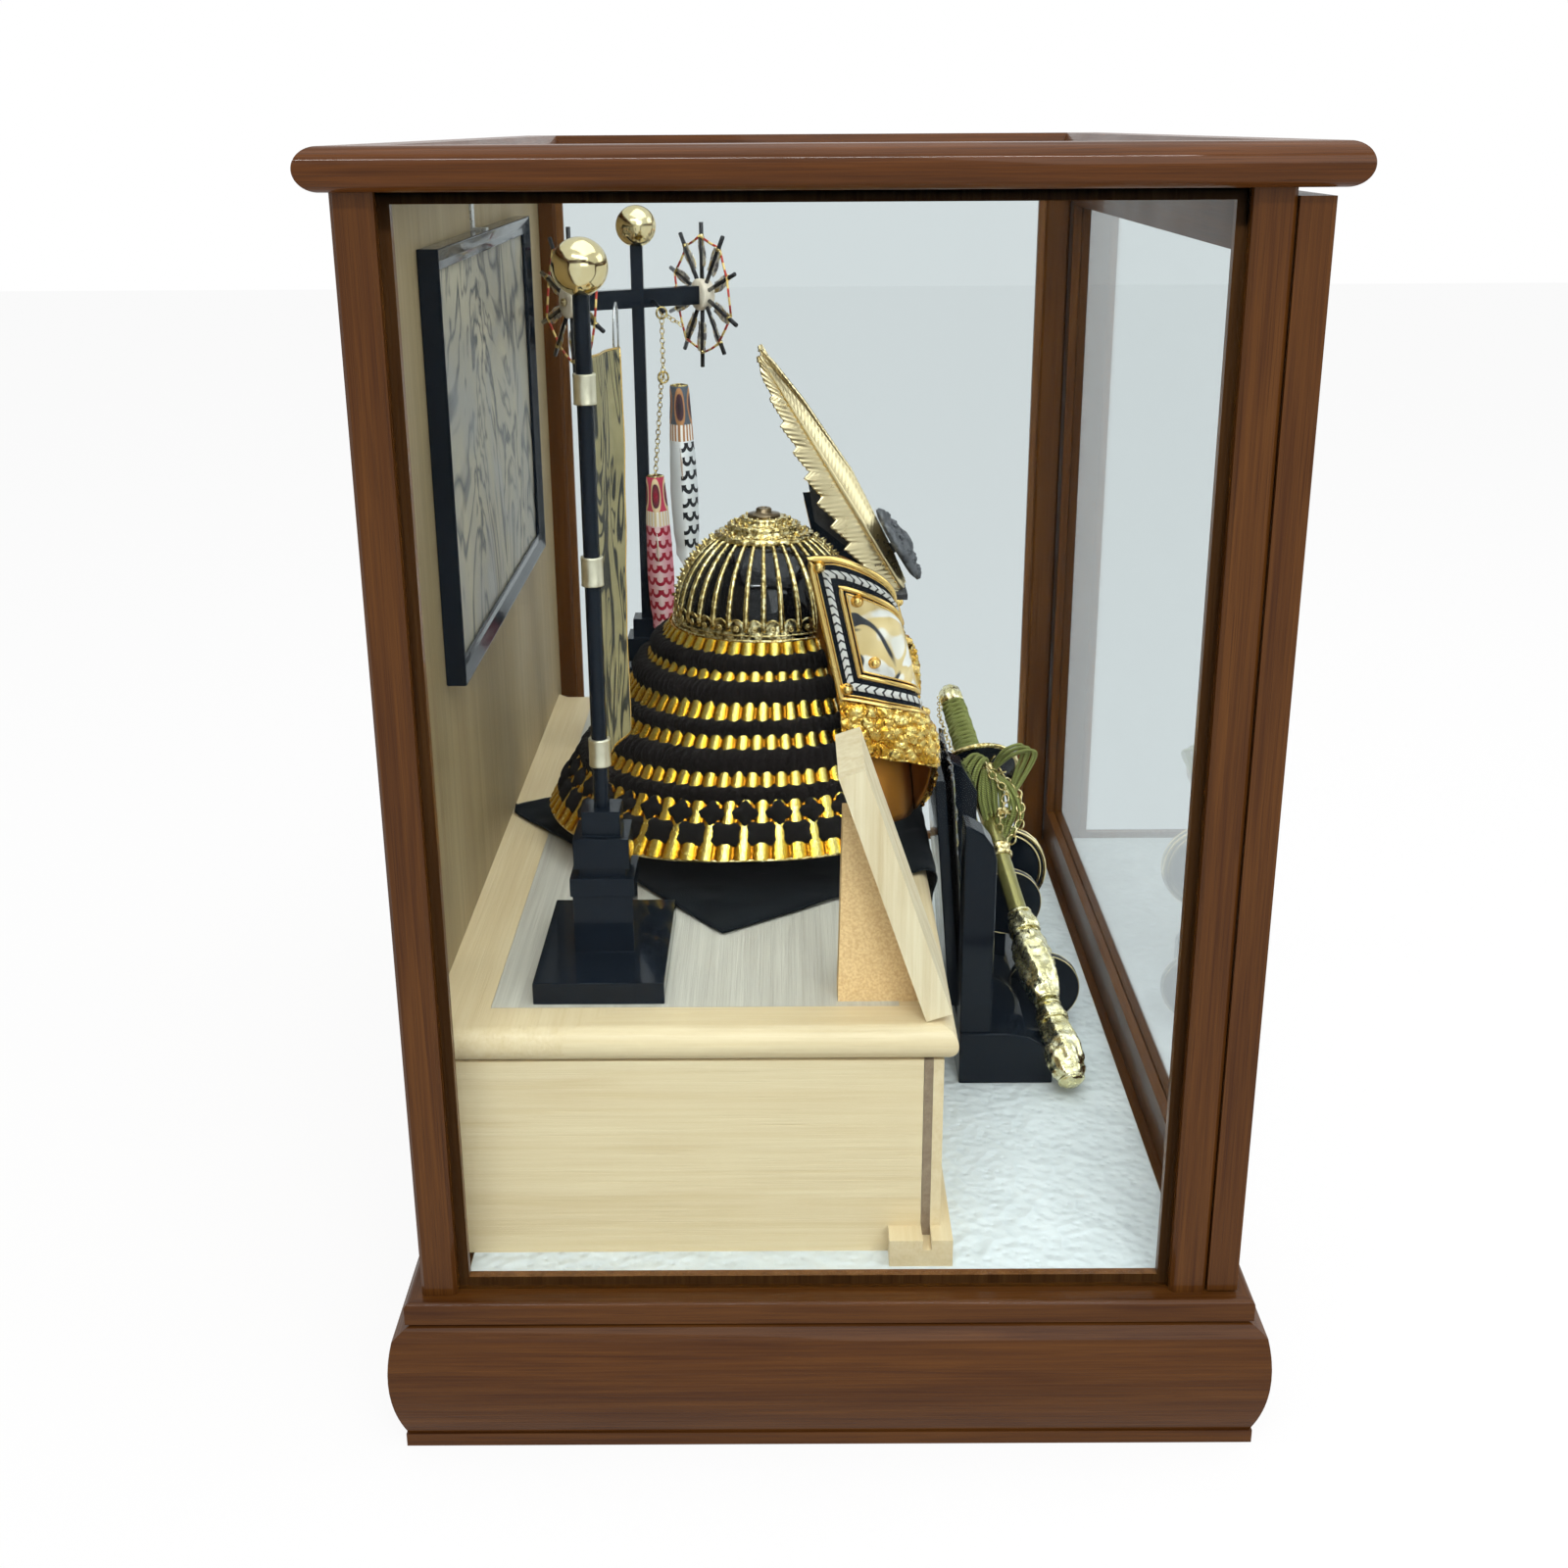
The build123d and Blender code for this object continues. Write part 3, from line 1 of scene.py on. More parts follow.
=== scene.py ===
"""Glazed display case with a miniature helmet, sword, banner and carp streamers."""
import math
import random
from math import cos, pi, radians, sin

import bmesh
import bpy
import numpy as np
from mathutils import Matrix, Vector, noise


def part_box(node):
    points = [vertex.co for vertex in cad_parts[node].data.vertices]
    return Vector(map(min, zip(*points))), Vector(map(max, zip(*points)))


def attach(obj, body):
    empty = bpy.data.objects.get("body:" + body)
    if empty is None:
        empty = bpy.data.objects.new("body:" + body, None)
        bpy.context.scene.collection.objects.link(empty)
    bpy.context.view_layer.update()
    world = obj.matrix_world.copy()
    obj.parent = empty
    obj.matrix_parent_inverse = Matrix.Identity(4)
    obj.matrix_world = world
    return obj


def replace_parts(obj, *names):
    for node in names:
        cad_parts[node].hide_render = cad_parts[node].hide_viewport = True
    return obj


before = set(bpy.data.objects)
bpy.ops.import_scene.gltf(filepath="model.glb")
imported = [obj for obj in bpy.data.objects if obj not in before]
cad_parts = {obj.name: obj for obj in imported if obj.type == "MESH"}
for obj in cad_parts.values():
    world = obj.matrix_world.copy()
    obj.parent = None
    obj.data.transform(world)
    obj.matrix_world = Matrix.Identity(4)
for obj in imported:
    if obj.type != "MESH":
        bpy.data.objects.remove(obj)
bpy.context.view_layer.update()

# ---------------------------------------------------------------- camera
# Stands just outside the left end pane, a little above the case, and looks along its length and down.
PITCH, YAW, ROLL = 0.3461, 0.0021, 0.0058
STAND, LENS, FILM = (-0.98067, 0.0174, 0.56879), 42.08, 36.0
ahead = Vector((cos(PITCH) * cos(YAW), cos(PITCH) * sin(YAW), -sin(PITCH)))
right = ahead.cross(Vector((0, 0, 1))).normalized()
down = ahead.cross(right)
turned_right = right * cos(ROLL) + down * sin(ROLL)
turned_down = down * cos(ROLL) - right * sin(ROLL)


def placed(name, data):
    """A new object in the scene that holds the data."""
    thing = bpy.data.objects.new(name, data)
    bpy.context.collection.objects.link(thing)
    return thing


camera_data = bpy.data.cameras.new("camera")
camera_data.lens, camera_data.sensor_width = LENS, FILM
camera_data.clip_start = 0.01
camera = placed("camera", camera_data)
stand_at = Matrix((turned_right, -turned_down, -ahead)).transposed().to_4x4()
stand_at.translation = STAND
camera.matrix_world = stand_at
bpy.context.scene.camera = camera
bpy.context.scene.view_settings.view_transform = "Standard"


# ---------------------------------------------------------------- floor, backdrop and lamps
# A pale floor that keeps the case's shadow, a white surround, three soft lamps and a narrow one.
class Bench:
    """A node tree, with short ways to add and join its nodes."""

    def __init__(self, tree):
        self.tree = tree

    def feed(self, socket, value):
        if isinstance(value, bpy.types.NodeSocket):
            self.tree.links.new(value, socket)
        elif isinstance(value, tuple) and len(value) == 3 and socket.type == "RGBA":
            socket.default_value = (*value, 1.0)
        else:
            socket.default_value = value

    def add(self, kind, ins=None, **settings):
        node = self.tree.nodes.new(
            kind if kind.startswith(("Node", "Geometry", "Function")) else "ShaderNode" + kind
        )
        for key, value in settings.items():
            setattr(node, key, value)
        for key, value in (ins or {}).items():
            self.feed(node.inputs[key], value)
        return node

    def maths(self, operation, *values):
        node = self.add("Math", operation=operation)
        for socket, value in zip(node.inputs, values):
            self.feed(socket, value)
        return node.outputs[0]

    def times(self, first, second):
        return self.maths("MULTIPLY", first, second)

    def plus(self, first, second):
        return self.maths("ADD", first, second)

    def minus(self, first, second):
        return self.maths("SUBTRACT", first, second)

    def bare(self, value):
        return self.maths("ABSOLUTE", value)

    def far(self, x, y):
        """Distance of the point (x, y) from nought."""
        return self.maths(
            "SQRT", self.plus(*(self.maths("POWER", self.bare(part), 2.0) for part in (x, y)))
        )

    def scaled(self, vector, by):
        node = self.add("VectorMath", operation="MULTIPLY")
        self.feed(node.inputs[0], vector)
        self.feed(node.inputs[1], by)
        return node.outputs[0]

    def noise(self, vector, scale, detail=3.0, warp=0.0):
        return self.add(
            "TexNoise", {"Vector": vector, "Scale": scale, "Detail": detail, "Distortion": warp}
        ).outputs[0]

    def span(self, value, low, high, to_low=0.0, to_high=1.0):
        return self.add(
            "MapRange",
            {"Value": value, "From Min": low, "From Max": high, "To Min": to_low, "To Max": to_high}
        ).outputs[0]

    def blend(self, share, first, second):
        node = self.add("Mix", data_type="RGBA")
        for socket, value in ((node.inputs[0], share), (node.inputs[6], first), (node.inputs[7], second)):
            self.feed(socket, value)
        return node.outputs[2]

    def ramp(self, value, stops):
        node = self.add("ValToRGB", {"Fac": value})
        while len(node.color_ramp.elements) < len(stops):
            node.color_ramp.elements.new(0.5)
        for element, (place, colour) in zip(node.color_ramp.elements, stops):
            element.position = place
            element.color = (*colour, 1.0) if isinstance(colour, tuple) else (colour, colour, colour, 1.0)
        return node.outputs[0]

    def split(self, vector):
        return self.add("SeparateXYZ", {"Vector": vector}).outputs

    def join(self, x, y, z):
        return self.add("CombineXYZ", {"X": x, "Y": y, "Z": z}).outputs[0]

    def seen(self):
        """One for rays from the camera, a mirror or glass, and nought for light falling on things."""
        path = self.add("LightPath").outputs
        through = self.maths("MAXIMUM", path["Is Glossy Ray"], path["Is Transmission Ray"])
        return self.maths("MAXIMUM", path["Is Camera Ray"], through)


SURROUND_LIGHT, FLOOR_GLOW, FLOOR_HALF = 0.62, 0.9, 6
world = bpy.data.worlds.new("surround")
bpy.context.scene.world = world
world.use_nodes = True
bench = Bench(world.node_tree)
background = world.node_tree.nodes["Background"]
background.inputs["Color"].default_value = (1.0, 1.0, 1.0, 1.0)
bench.feed(background.inputs["Strength"], bench.span(bench.seen(), 0.0, 1.0, SURROUND_LIGHT, 1.0))

floor_mesh = bpy.data.meshes.new("floor")
corners = [(x * FLOOR_HALF, y * FLOOR_HALF, 0) for x, y in ((-1, -1), (1, -1), (1, 1), (-1, 1))]
floor_mesh.from_pydata(corners, [], [(0, 1, 2, 3)])
floor = placed("floor", floor_mesh)
floor_paint = bpy.data.materials.new("floor_paint")
floor_paint.use_nodes = True
bench = Bench(floor_paint.node_tree)
lit = floor_paint.node_tree.nodes["Principled BSDF"]
lit.inputs["Base Color"].default_value = (0.86, 0.86, 0.86, 1.0)
lit.inputs["Roughness"].default_value = 0.9
lit.inputs["Specular IOR Level"].default_value = 0.0
glow = bench.add("Emission", {"Color": (1.0, 1.0, 1.0), "Strength": 1.0}).outputs[0]
shown = bench.add(
    "MixShader", {0: bench.times(bench.seen(), FLOOR_GLOW), 1: lit.outputs[0], 2: glow}
).outputs[0]
bench.feed(floor_paint.node_tree.nodes["Material Output"].inputs["Surface"], shown)
floor_mesh.materials.append(floor_paint)

LAMPS = (
    ("overhead", (-0.15, -0.25, 1.75), 1.5, 1.5, 12.0),
    ("camera_side", (-2.1, -0.9, 1.35), 1.3, 1.3, 15.0),
    ("door_side", (0.5, -2.2, 1.2), 1.2, 1.2, 9.0),
    ("strip", (-1.45, 0.15, 1.75), 0.05, 1.3, 14.0),
)
AIM = Vector((0, 0, 0.3))
for lamp_name, stand, deep, wide, watts in LAMPS:
    lamp_data = bpy.data.lights.new(lamp_name, "AREA")
    lamp_data.shape = "RECTANGLE"
    lamp_data.size, lamp_data.size_y = wide, deep
    lamp_data.energy = watts
    lamp = placed(lamp_name, lamp_data)
    lamp.location = stand
    lamp.rotation_euler = (AIM - Vector(stand)).to_track_quat("-Z", "Y").to_euler()


# ---------------------------------------------------------------- case joinery
# Plinth, posts, top frame and door frame in a stained red-brown hardwood under glossy lacquer.
# Grain runs along every member, and the rails are mitred.
class Finish(Bench):
    """One material: a Principled shader, and the patterns that drive it."""

    def __init__(self, name, colour, rough=0.5, metal=0.0, **plain):
        self.material = bpy.data.materials.new(name)
        self.material.use_nodes = True
        self.material.diffuse_color = (*colour, 1.0)
        super().__init__(self.material.node_tree)
        self.shader = self.tree.nodes["Principled BSDF"]
        self.set(Base_Color=colour, Roughness=rough, Metallic=metal, **plain)

    def set(self, **sockets):
        for key, value in sockets.items():
            self.feed(self.shader.inputs[key.replace("_", " ")], value)

    def own(self, kind="Object"):
        return self.add("TexCoord").outputs[kind]

    def use(self, group, **ins):
        node = self.add("Group", node_tree=group)
        for key, value in ins.items():
            self.feed(node.inputs[key.replace("_", " ")], value)
        return node.outputs

    def bump(self, height, depth, strength=0.6):
        node = self.add("Bump", {"Height": height, "Distance": depth, "Strength": strength})
        self.set(Normal=node.outputs[0])


def new_group(name, ins, outs):
    """An empty shader group with named sockets, given as name: type."""
    tree = bpy.data.node_groups.new(name, "ShaderNodeTree")
    for names, way in ((ins, "INPUT"), (outs, "OUTPUT")):
        for key, kind in names.items():
            tree.interface.new_socket(key, in_out=way, socket_type="NodeSocket" + kind)
    bench = Bench(tree)
    given = bench.add("NodeGroupInput").outputs
    wanted = bench.add("NodeGroupOutput").inputs
    return tree, bench, given, wanted


grain_group, bench, given, wanted = new_group(
    "wood_grain",
    {
        "Vector": "Vector", "Along": "Float", "Across": "Float", "Pale": "Color", "Deep": "Color",
        "Pores": "Float"
    },
    {"Color": "Color", "Height": "Float"},
)
stretched = bench.scaled(given["Vector"], bench.join(given["Along"], given["Across"], given["Across"]))
bands = bench.noise(stretched, 1.0, 4.0, 0.6)
streaks = bench.noise(bench.scaled(stretched, (1.7, 5.0, 5.0)), 1.0, 2.0)
pore = bench.span(bench.noise(bench.scaled(stretched, (3.0, 17.0, 17.0)), 1.0, 1.0), 0.60, 0.74)
body_tone = bench.plus(bench.times(bands, 0.68), bench.times(streaks, 0.42))
tone = bench.blend(bench.span(body_tone, 0.36, 0.74), given["Deep"], given["Pale"])
dark_pores = bench.blend(bench.times(pore, given["Pores"]), tone, given["Deep"])
bench.feed(wanted["Color"], dark_pores)
bench.feed(wanted["Height"], bench.minus(streaks, bench.times(pore, 0.5)))

rail_group, bench, given, wanted = new_group(
    "along_rail", {"Vector": "Vector", "Half X": "Float", "Half Y": "Float"}, {"Vector": "Vector"}
)
x, y, z = bench.split(given["Vector"])
past_x = bench.minus(bench.bare(x), given["Half X"])
past_y = bench.minus(bench.bare(y), given["Half Y"])
on_end = bench.maths("GREATER_THAN", past_x, past_y)
chosen = bench.add("Mix", {}, data_type="VECTOR")
bench.feed(chosen.inputs[0], on_end)
bench.feed(chosen.inputs[4], bench.join(x, y, z))
bench.feed(chosen.inputs[5], bench.join(y, x, bench.plus(z, 3.0)))
bench.feed(wanted["Vector"], chosen.outputs[1])

sheen_group, bench, given, wanted = new_group(
    "handled_sheen", {"Vector": "Vector", "Scale": "Float", "Low": "Float", "High": "Float"},
    {"Roughness": "Float", "Height": "Float"},
)
cloud = bench.noise(given["Vector"], given["Scale"], 4.0)
bench.feed(wanted["Roughness"], bench.span(cloud, 0.3, 0.7, given["Low"], given["High"]))
bench.feed(wanted["Height"], cloud)

TURNS = {"x": (0, 1, 2), "y": (1, 0, 2), "z": (2, 0, 1)}


def worn(name, colour, scale, sheen, tones=(), bump=(), rough=0.3, metal=1.0, **plain):
    """A handled metal. Tones are its dull and bright colours, or the stops of a ramp."""
    finish = Finish(name, colour, rough, metal, **plain)
    cloud = finish.use(sheen_group, Vector=finish.own(), Scale=scale, Low=sheen[0], High=sheen[1])
    finish.set(Roughness=cloud["Roughness"])
    if tones:
        height = cloud["Height"]
        finish.set(
            Base_Color=finish.blend(height, *tones) if len(tones) == 2 else finish.ramp(height, tones)
        )
    if bump:
        finish.bump(cloud["Height"], *bump)
    return finish


def wood(
    name, pale, deep, run, along=9.0, across=150.0, pores=0.6, rough=(0.28, 0.42), depth=0.0003, **plain
):
    """A timber finish. Run is the grain's axis, or the half sizes of a mitred frame."""
    finish = Finish(name, pale, **plain)
    place = finish.own()
    if isinstance(run, str):
        parts = finish.split(place)
        place = finish.join(*(parts[axis] for axis in TURNS[run]))
    else:
        place = finish.use(rail_group, Vector=place, Half_X=run[0], Half_Y=run[1])["Vector"]
    grain = finish.use(
        grain_group, Vector=place, Along=along, Across=across, Pale=pale, Deep=deep, Pores=pores
    )
    sheen = finish.use(sheen_group, Vector=place, Scale=14.0, Low=rough[0], High=rough[1])
    finish.set(Base_Color=grain["Color"], Roughness=sheen["Roughness"])
    finish.bump(grain["Height"], depth)
    return finish


def dress(finish, *names):
    """Give a finish to nodes of the model."""
    for name in names:
        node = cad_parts[name]
        if not node.material_slots:
            node.data.materials.append(finish.material)
        for slot in node.material_slots:
            slot.material = finish.material


CASE_PALE, CASE_DEEP = (0.105, 0.038, 0.007), (0.052, 0.016, 0.003)
case_look = {
    "across": 230.0, "pores": 0.9, "Coat_Weight": 0.24, "Coat_Roughness": 0.04, "Specular_IOR_Level": 0.05
}
dress(wood("case_plinth_wood", CASE_PALE, CASE_DEEP, (0.299, 0.198), **case_look), "plinth_rails")
dress(wood("case_top_wood", (0.112, 0.036, 0.006), CASE_DEEP, (0.294, 0.193), **case_look), "top_rails")
dress(
    wood("case_post_wood", CASE_PALE, CASE_DEEP, "z", **case_look), "front_posts", "back_posts",
    "door_hinge_stile", "door_lock_stile"
)
dress(wood("case_rail_wood", CASE_PALE, CASE_DEEP, "x", **case_look), "door_rails")
# The glass beads get a lighter copy of the case wood: painted light that lifts the shade they sit in.
dress(wood("case_bead_wood_painted_light", (0.19, 0.08, 0.025), (0.095, 0.036, 0.011), "z", **case_look), "glass_beads")
dress(
    wood("corner_block_wood", (0.42, 0.27, 0.13), (0.25, 0.14, 0.06), "z", rough=(0.6, 0.8)),
    "plinth_corner_blocks"
)
dress(
    wood(
        "back_ply", (0.37, 0.285, 0.155), (0.28, 0.205, 0.105), "z", 3.0, 70.0, 0.25, (0.5, 0.65),
        Specular_IOR_Level=0.3
    ),
    "back_panel"
)
dress(
    wood("base_ply", (0.55, 0.40, 0.23), (0.38, 0.25, 0.13), "x", 4.0, 90.0, 0.3, (0.6, 0.8)), "base_board"
)

# ---------------------------------------------------------------- floor sheet of the case
# White embossed paper laid on the base board, with a soft leathery pebble.
paper = Finish("floor_paper", (0.83, 0.86, 0.85), 0.62, Specular_IOR_Level=0.3)
pebble = paper.add(
    "TexVoronoi", {"Vector": paper.own(), "Scale": 200.0}, feature="SMOOTH_F1"
).outputs["Distance"]
wander = paper.noise(paper.own(), 60.0, 4.0)
paper.set(Base_Color=paper.blend(paper.span(wander, 0.3, 0.7), (0.61, 0.65, 0.655), (0.69, 0.73, 0.735)))
paper.bump(paper.plus(pebble, paper.times(wander, 0.5)), 0.0024, 0.8)
dress(paper, "floor_sheet")

# ---------------------------------------------------------------- glass
# Clear 3 mm float glass in the ends, door and top, faintly grey-blue, with a film of wiping marks.
def pane(name, ior, *nodes):
    glass = Finish(name, (0.80, 0.84, 0.845), 0.0, IOR=ior, Transmission_Weight=1.0)
    smear = glass.use(sheen_group, Vector=glass.own(), Scale=5.0, Low=0.0, High=0.012)
    glass.set(Roughness=smear["Roughness"])
    lamp_way = glass.add("BsdfTransparent", {"Color": (0.93, 0.95, 0.95)}).outputs[0]
    shaded = glass.add("LightPath").outputs["Is Shadow Ray"]
    mixed = glass.add("MixShader", {0: shaded, 1: glass.shader.outputs[0], 2: lamp_way})
    glass.feed(glass.tree.nodes["Material Output"].inputs["Surface"], mixed.outputs[0])
    dress(glass, *nodes)


pane("end_glass", 1.08, "side_glasses")
pane("door_pane_glass", 1.25, "door_glass")
pane("top_pane_glass", 1.15, "top_glass")

# ---------------------------------------------------------------- door and case hardware
# Turned steel pivot pins in brass bushes, a zinc-cased magnet with its keeper, and blued wood screws.
steel = worn("brushed_steel", (0.56, 0.57, 0.58), 900.0, (0.22, 0.42), bump=(0.0001,))
dress(steel, "door_pivot_pins", "catch_magnet", "catch_plate", "block_screws", "picture_hanger")
brass = worn(
    "brass_fittings", (0.74, 0.62, 0.36), 260.0, (0.2, 0.38), ((0.60, 0.50, 0.30), (0.86, 0.76, 0.50))
)
dress(brass, "hinge_bushes", "flag_bands", "wheel_axles")

# ---------------------------------------------------------------- platform
# An open bench of pale varnished timber: bullnosed border round a grey-beige panel, solid ends.
PALE, PALE_DEEP = (0.73, 0.60, 0.375), (0.63, 0.485, 0.275)
bench_look = {"Coat_Weight": 0.12, "Coat_Roughness": 0.2}
dress(
    wood("platform_border_wood", PALE, PALE_DEEP, (0.256, 0.118), 7, 120, 0.25, (0.4, 0.5), **bench_look),
    "platform_top_rails"
)
dress(
    wood("platform_end_wood", PALE, PALE_DEEP, "y", 7, 120, 0.25, (0.4, 0.5), **bench_look),
    "platform_end_boards"
)
dress(
    wood("platform_front_wood", PALE, PALE_DEEP, "x", 7, 120, 0.25, (0.4, 0.5), **bench_look),
    "platform_facia_trim", "platform_foot_rail",
)
dress(
    wood("platform_facia_wood", (0.30, 0.22, 0.14), (0.19, 0.13, 0.08), "x", 6, 160, 0.5), "platform_facia"
)
dress(
    wood("platform_panel_wood", (0.60, 0.575, 0.49), (0.44, 0.41, 0.345), "x", 6, 210, 0.55, (0.42, 0.55)),
    "platform_panel"
)
dress(wood("pedestal_wood", (0.035, 0.03, 0.028), (0.02, 0.017, 0.016), "z"), "helmet_pedestal")

# ---------------------------------------------------------------- plaque
# A planed pine board leaning on a fibreboard wedge; its face is left bare.
dress(
    wood("plaque_pine", (0.78, 0.68, 0.47), (0.58, 0.45, 0.26), "z", 7, 95, 0.3, (0.45, 0.6)),
    "plaque_board"
)
fibre = Finish("wedge_fibreboard", (0.64, 0.46, 0.25), 0.8, Specular_IOR_Level=0.25)
flecks = fibre.noise(fibre.own(), 900.0, 2.0)
fibre.set(Base_Color=fibre.blend(fibre.span(flecks, 0.35, 0.65), (0.62, 0.41, 0.19), (0.78, 0.545, 0.275)))
fibre.bump(flecks, 0.0002)
dress(fibre, "plaque_easel")

# ---------------------------------------------------------------- black lacquer stands
# Stepped bases, poles and the sword rack, sprayed in deep blue-black gloss with a little dust.
def lacquer(name, colour, coat=0.2, rough=(0.07, 0.16), dust=0.2):
    finish = Finish(name, colour, 0.2, Coat_Weight=coat, Coat_Roughness=0.03, Specular_IOR_Level=0.08)
    dusty = finish.use(sheen_group, Vector=finish.own(), Scale=70.0, Low=rough[0], High=rough[1])
    specks = finish.span(finish.noise(finish.own(), 1400.0, 1.0), 0.70, 0.78)
    finish.set(
        Roughness=dusty["Roughness"],
        Base_Color=finish.blend(finish.times(specks, dust), colour, (0.16, 0.17, 0.18))
    )
    finish.bump(dusty["Height"], 0.00025, 0.3)
    return finish


def eased(node, width, finish, body="case"):
    """The node's own shape with its arrises eased, standing for the node."""
    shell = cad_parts[node].data.copy()
    shell.name = node + "_eased"
    work = bmesh.new()
    work.from_mesh(shell)
    bmesh.ops.remove_doubles(work, verts=work.verts, dist=1e-6)
    bmesh.ops.dissolve_limit(work, angle_limit=radians(1.0), verts=work.verts, edges=work.edges)
    work.to_mesh(shell)
    work.free()
    shell.materials.clear()
    shell.materials.append(finish.material)
    piece = placed(node + "_eased", shell)
    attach(piece, body)
    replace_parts(piece, node)
    easing = piece.modifiers.new("arris", "BEVEL")
    easing.width, easing.segments = width, 2
    easing.limit_method, easing.angle_limit = "ANGLE", radians(40.0)


black_gloss = lacquer("black_gloss", (0.005, 0.008, 0.013))
dress(black_gloss, "flag_pole", "carp_pole", "carp_arm")
for node in ("flag_base", "carp_base", "picture_frame"):
    eased(node, 0.0007, black_gloss)


# ---------------------------------------------------------------- picture on the back
# A painted board with clouds of ink and worn gilt, in a narrow black frame.
ink = Finish("ink_and_gilt", (0.30, 0.27, 0.20), 0.4)
place = ink.own()
swirl = ink.noise(ink.scaled(place, (9.0, 1.0, 5.0)), 1.0, 3.0, 3.2)
wash = ink.noise(ink.scaled(place, (16.0, 1.0, 12.0)), 1.0, 5.0, 1.5)
ground = ink.blend(ink.span(wash, 0.35, 0.65), (0.22, 0.205, 0.165), (0.40, 0.36, 0.26))
stroke = ink.ramp(swirl, [(0.40, 0.0), (0.45, 1.0), (0.49, 0.0), (0.57, 0.0), (0.60, 0.8), (0.63, 0.0)])
ink.set(
    Base_Color=ink.blend(stroke, ground, (0.035, 0.04, 0.045)),
    Roughness=ink.span(wash, 0.3, 0.7, 0.3, 0.55)
)
ink.bump(swirl, 0.0004)
dress(ink, "picture_panel")


# ---------------------------------------------------------------- gilt balls on the poles
# Hollow spun brass balls, bright gilt, a little dented and cloudy where they were handled.
gilt = worn(
    "bright_gilt", (0.93, 0.78, 0.42), 120.0, (0.05, 0.2), ((0.80, 0.62, 0.28), (0.99, 0.88, 0.56)),
    (0.0007, 0.35), rough=0.08
)
dress(gilt, "pole_balls")


# ---------------------------------------------------------------- helmet bowl: ribs, band and crown
# A lacquered bowl with thirty-two gilt ribs soldered on, a scalloped gilt edging, rows of small gilt
# knobs down the front and back, and a stacked gilt crown fitting with a dark button.
MM, POINTED = 0.001, 0.01


def make(name, shape, finish, body="case", smooth=True, marked=False):
    """A mesh piece from a shape, or a list of shapes, in millimetres. Marked keeps its UV pairs."""
    points, faces, marks = shape if isinstance(shape, tuple) else together(*shape)
    mesh = bpy.data.meshes.new(name)
    mesh.from_pydata(
        [tuple(float(c) * MM for c in p) for p in points], [], [tuple(int(i) for i in f) for f in faces]
    )
    mesh.polygons.foreach_set("use_smooth", [smooth] * len(mesh.polygons))
    if marked:
        layer = mesh.uv_layers.new(name="along")
        layer.data.foreach_set("uv", [c for loop in mesh.loops for c in marks[loop.vertex_index]])
    mesh.materials.append(finish.material)
    mesh.update()
    piece = placed(name, mesh)
    if body:
        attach(piece, body)
    return piece


def quads(rows, columns, wide, total):
    """Faces of a grid of points, row by row; it may close on itself both ways."""
    faces = []
    for row in range(rows):
        for column in range(columns):
            a, b = row * wide + column, row * wide + (column + 1) % wide
            faces.append((a, b, (b + wide) % total, (a + wide) % total))
    return faces


def surface(shape, count_u, count_v, round_u=False, flip=False):
    """A grid of points shape(u, v), with u and v from 0 to 1, and its UV pairs."""
    points, marks = [], []
    wide = count_u if round_u else count_u + 1
    for row in range(count_v + 1):
        for column in range(wide):
            u, v = column / count_u, row / count_v
            points.append(shape(u, v))
            marks.append((u, v))
    faces = quads(count_v, count_u, wide, len(points))
    return points, [face[::-1] for face in faces] if flip else faces, marks


def tube(path, radius, sides=8, closed=False, flat=1.0):
    """A round tube along a path of points; its radius may be a list, and its ends are closed."""
    path = [Vector(p) for p in path]
    count = len(path)
    radii = radius if isinstance(radius, (list, tuple)) else [radius] * count
    points, marks, travelled = [], [], 0.0
    upright = None
    for index, point in enumerate(path):
        before = path[index - 1] if index or closed else point
        after = path[(index + 1) % count] if index < count - 1 or closed else point
        way = (after - before).normalized()
        if upright is None:
            upright = Vector((0, 0, 1)) if abs(way.z) < 0.9 else Vector((0, 1, 0))
        across = way.cross(upright).normalized()
        upright = across.cross(way).normalized()
        if index:
            travelled += (point - path[index - 1]).length
        for side in range(sides):
            turn = 2 * pi * side / sides
            points.append(
                point + across * cos(turn) * radii[index] + upright * sin(turn) * radii[index] * flat
            )
            marks.append((side / sides, travelled))
    faces = quads(count if closed else count - 1, sides, sides, count * sides)
    if not closed:
        faces.append(tuple(range(sides))[::-1])
        faces.append(tuple(range((count - 1) * sides, count * sides)))
    return points, faces, marks


def lathe(profile, foot=(0, 0, 0), way=(0, 0, 1), sides=32, wobble=None):
    """A turned shape: (radius, distance along) pairs about a line from foot in direction way."""
    way = Vector(way).normalized()
    across = way.cross(Vector((0, 0, 1)) if abs(way.z) < 0.9 else Vector((1, 0, 0))).normalized()
    upright = way.cross(across)
    points, marks = [], []
    for radius, distance in profile:
        for side in range(sides):
            turn = 2 * pi * side / sides
            r = radius * (wobble(turn, distance) if wobble else 1.0)
            points.append(Vector(foot) + way * distance + (across * cos(turn) + upright * sin(turn)) * r)
            marks.append((side / sides, distance))
    faces = quads(len(profile) - 1, sides, sides, len(profile) * sides)
    if profile[0][0] > POINTED:
        faces.append(tuple(range(sides))[::-1])
    if profile[-1][0] > POINTED:
        faces.append(tuple(range((len(profile) - 1) * sides, len(profile) * sides)))
    return points, faces, marks


def together(*shapes):
    """Several shapes as one."""
    points, faces, marks = [], [], []
    for more_points, more_faces, more_marks in shapes:
        faces += [tuple(i + len(points) for i in face) for face in more_faces]
        points += list(more_points)
        marks += list(more_marks)
    return points, faces, marks


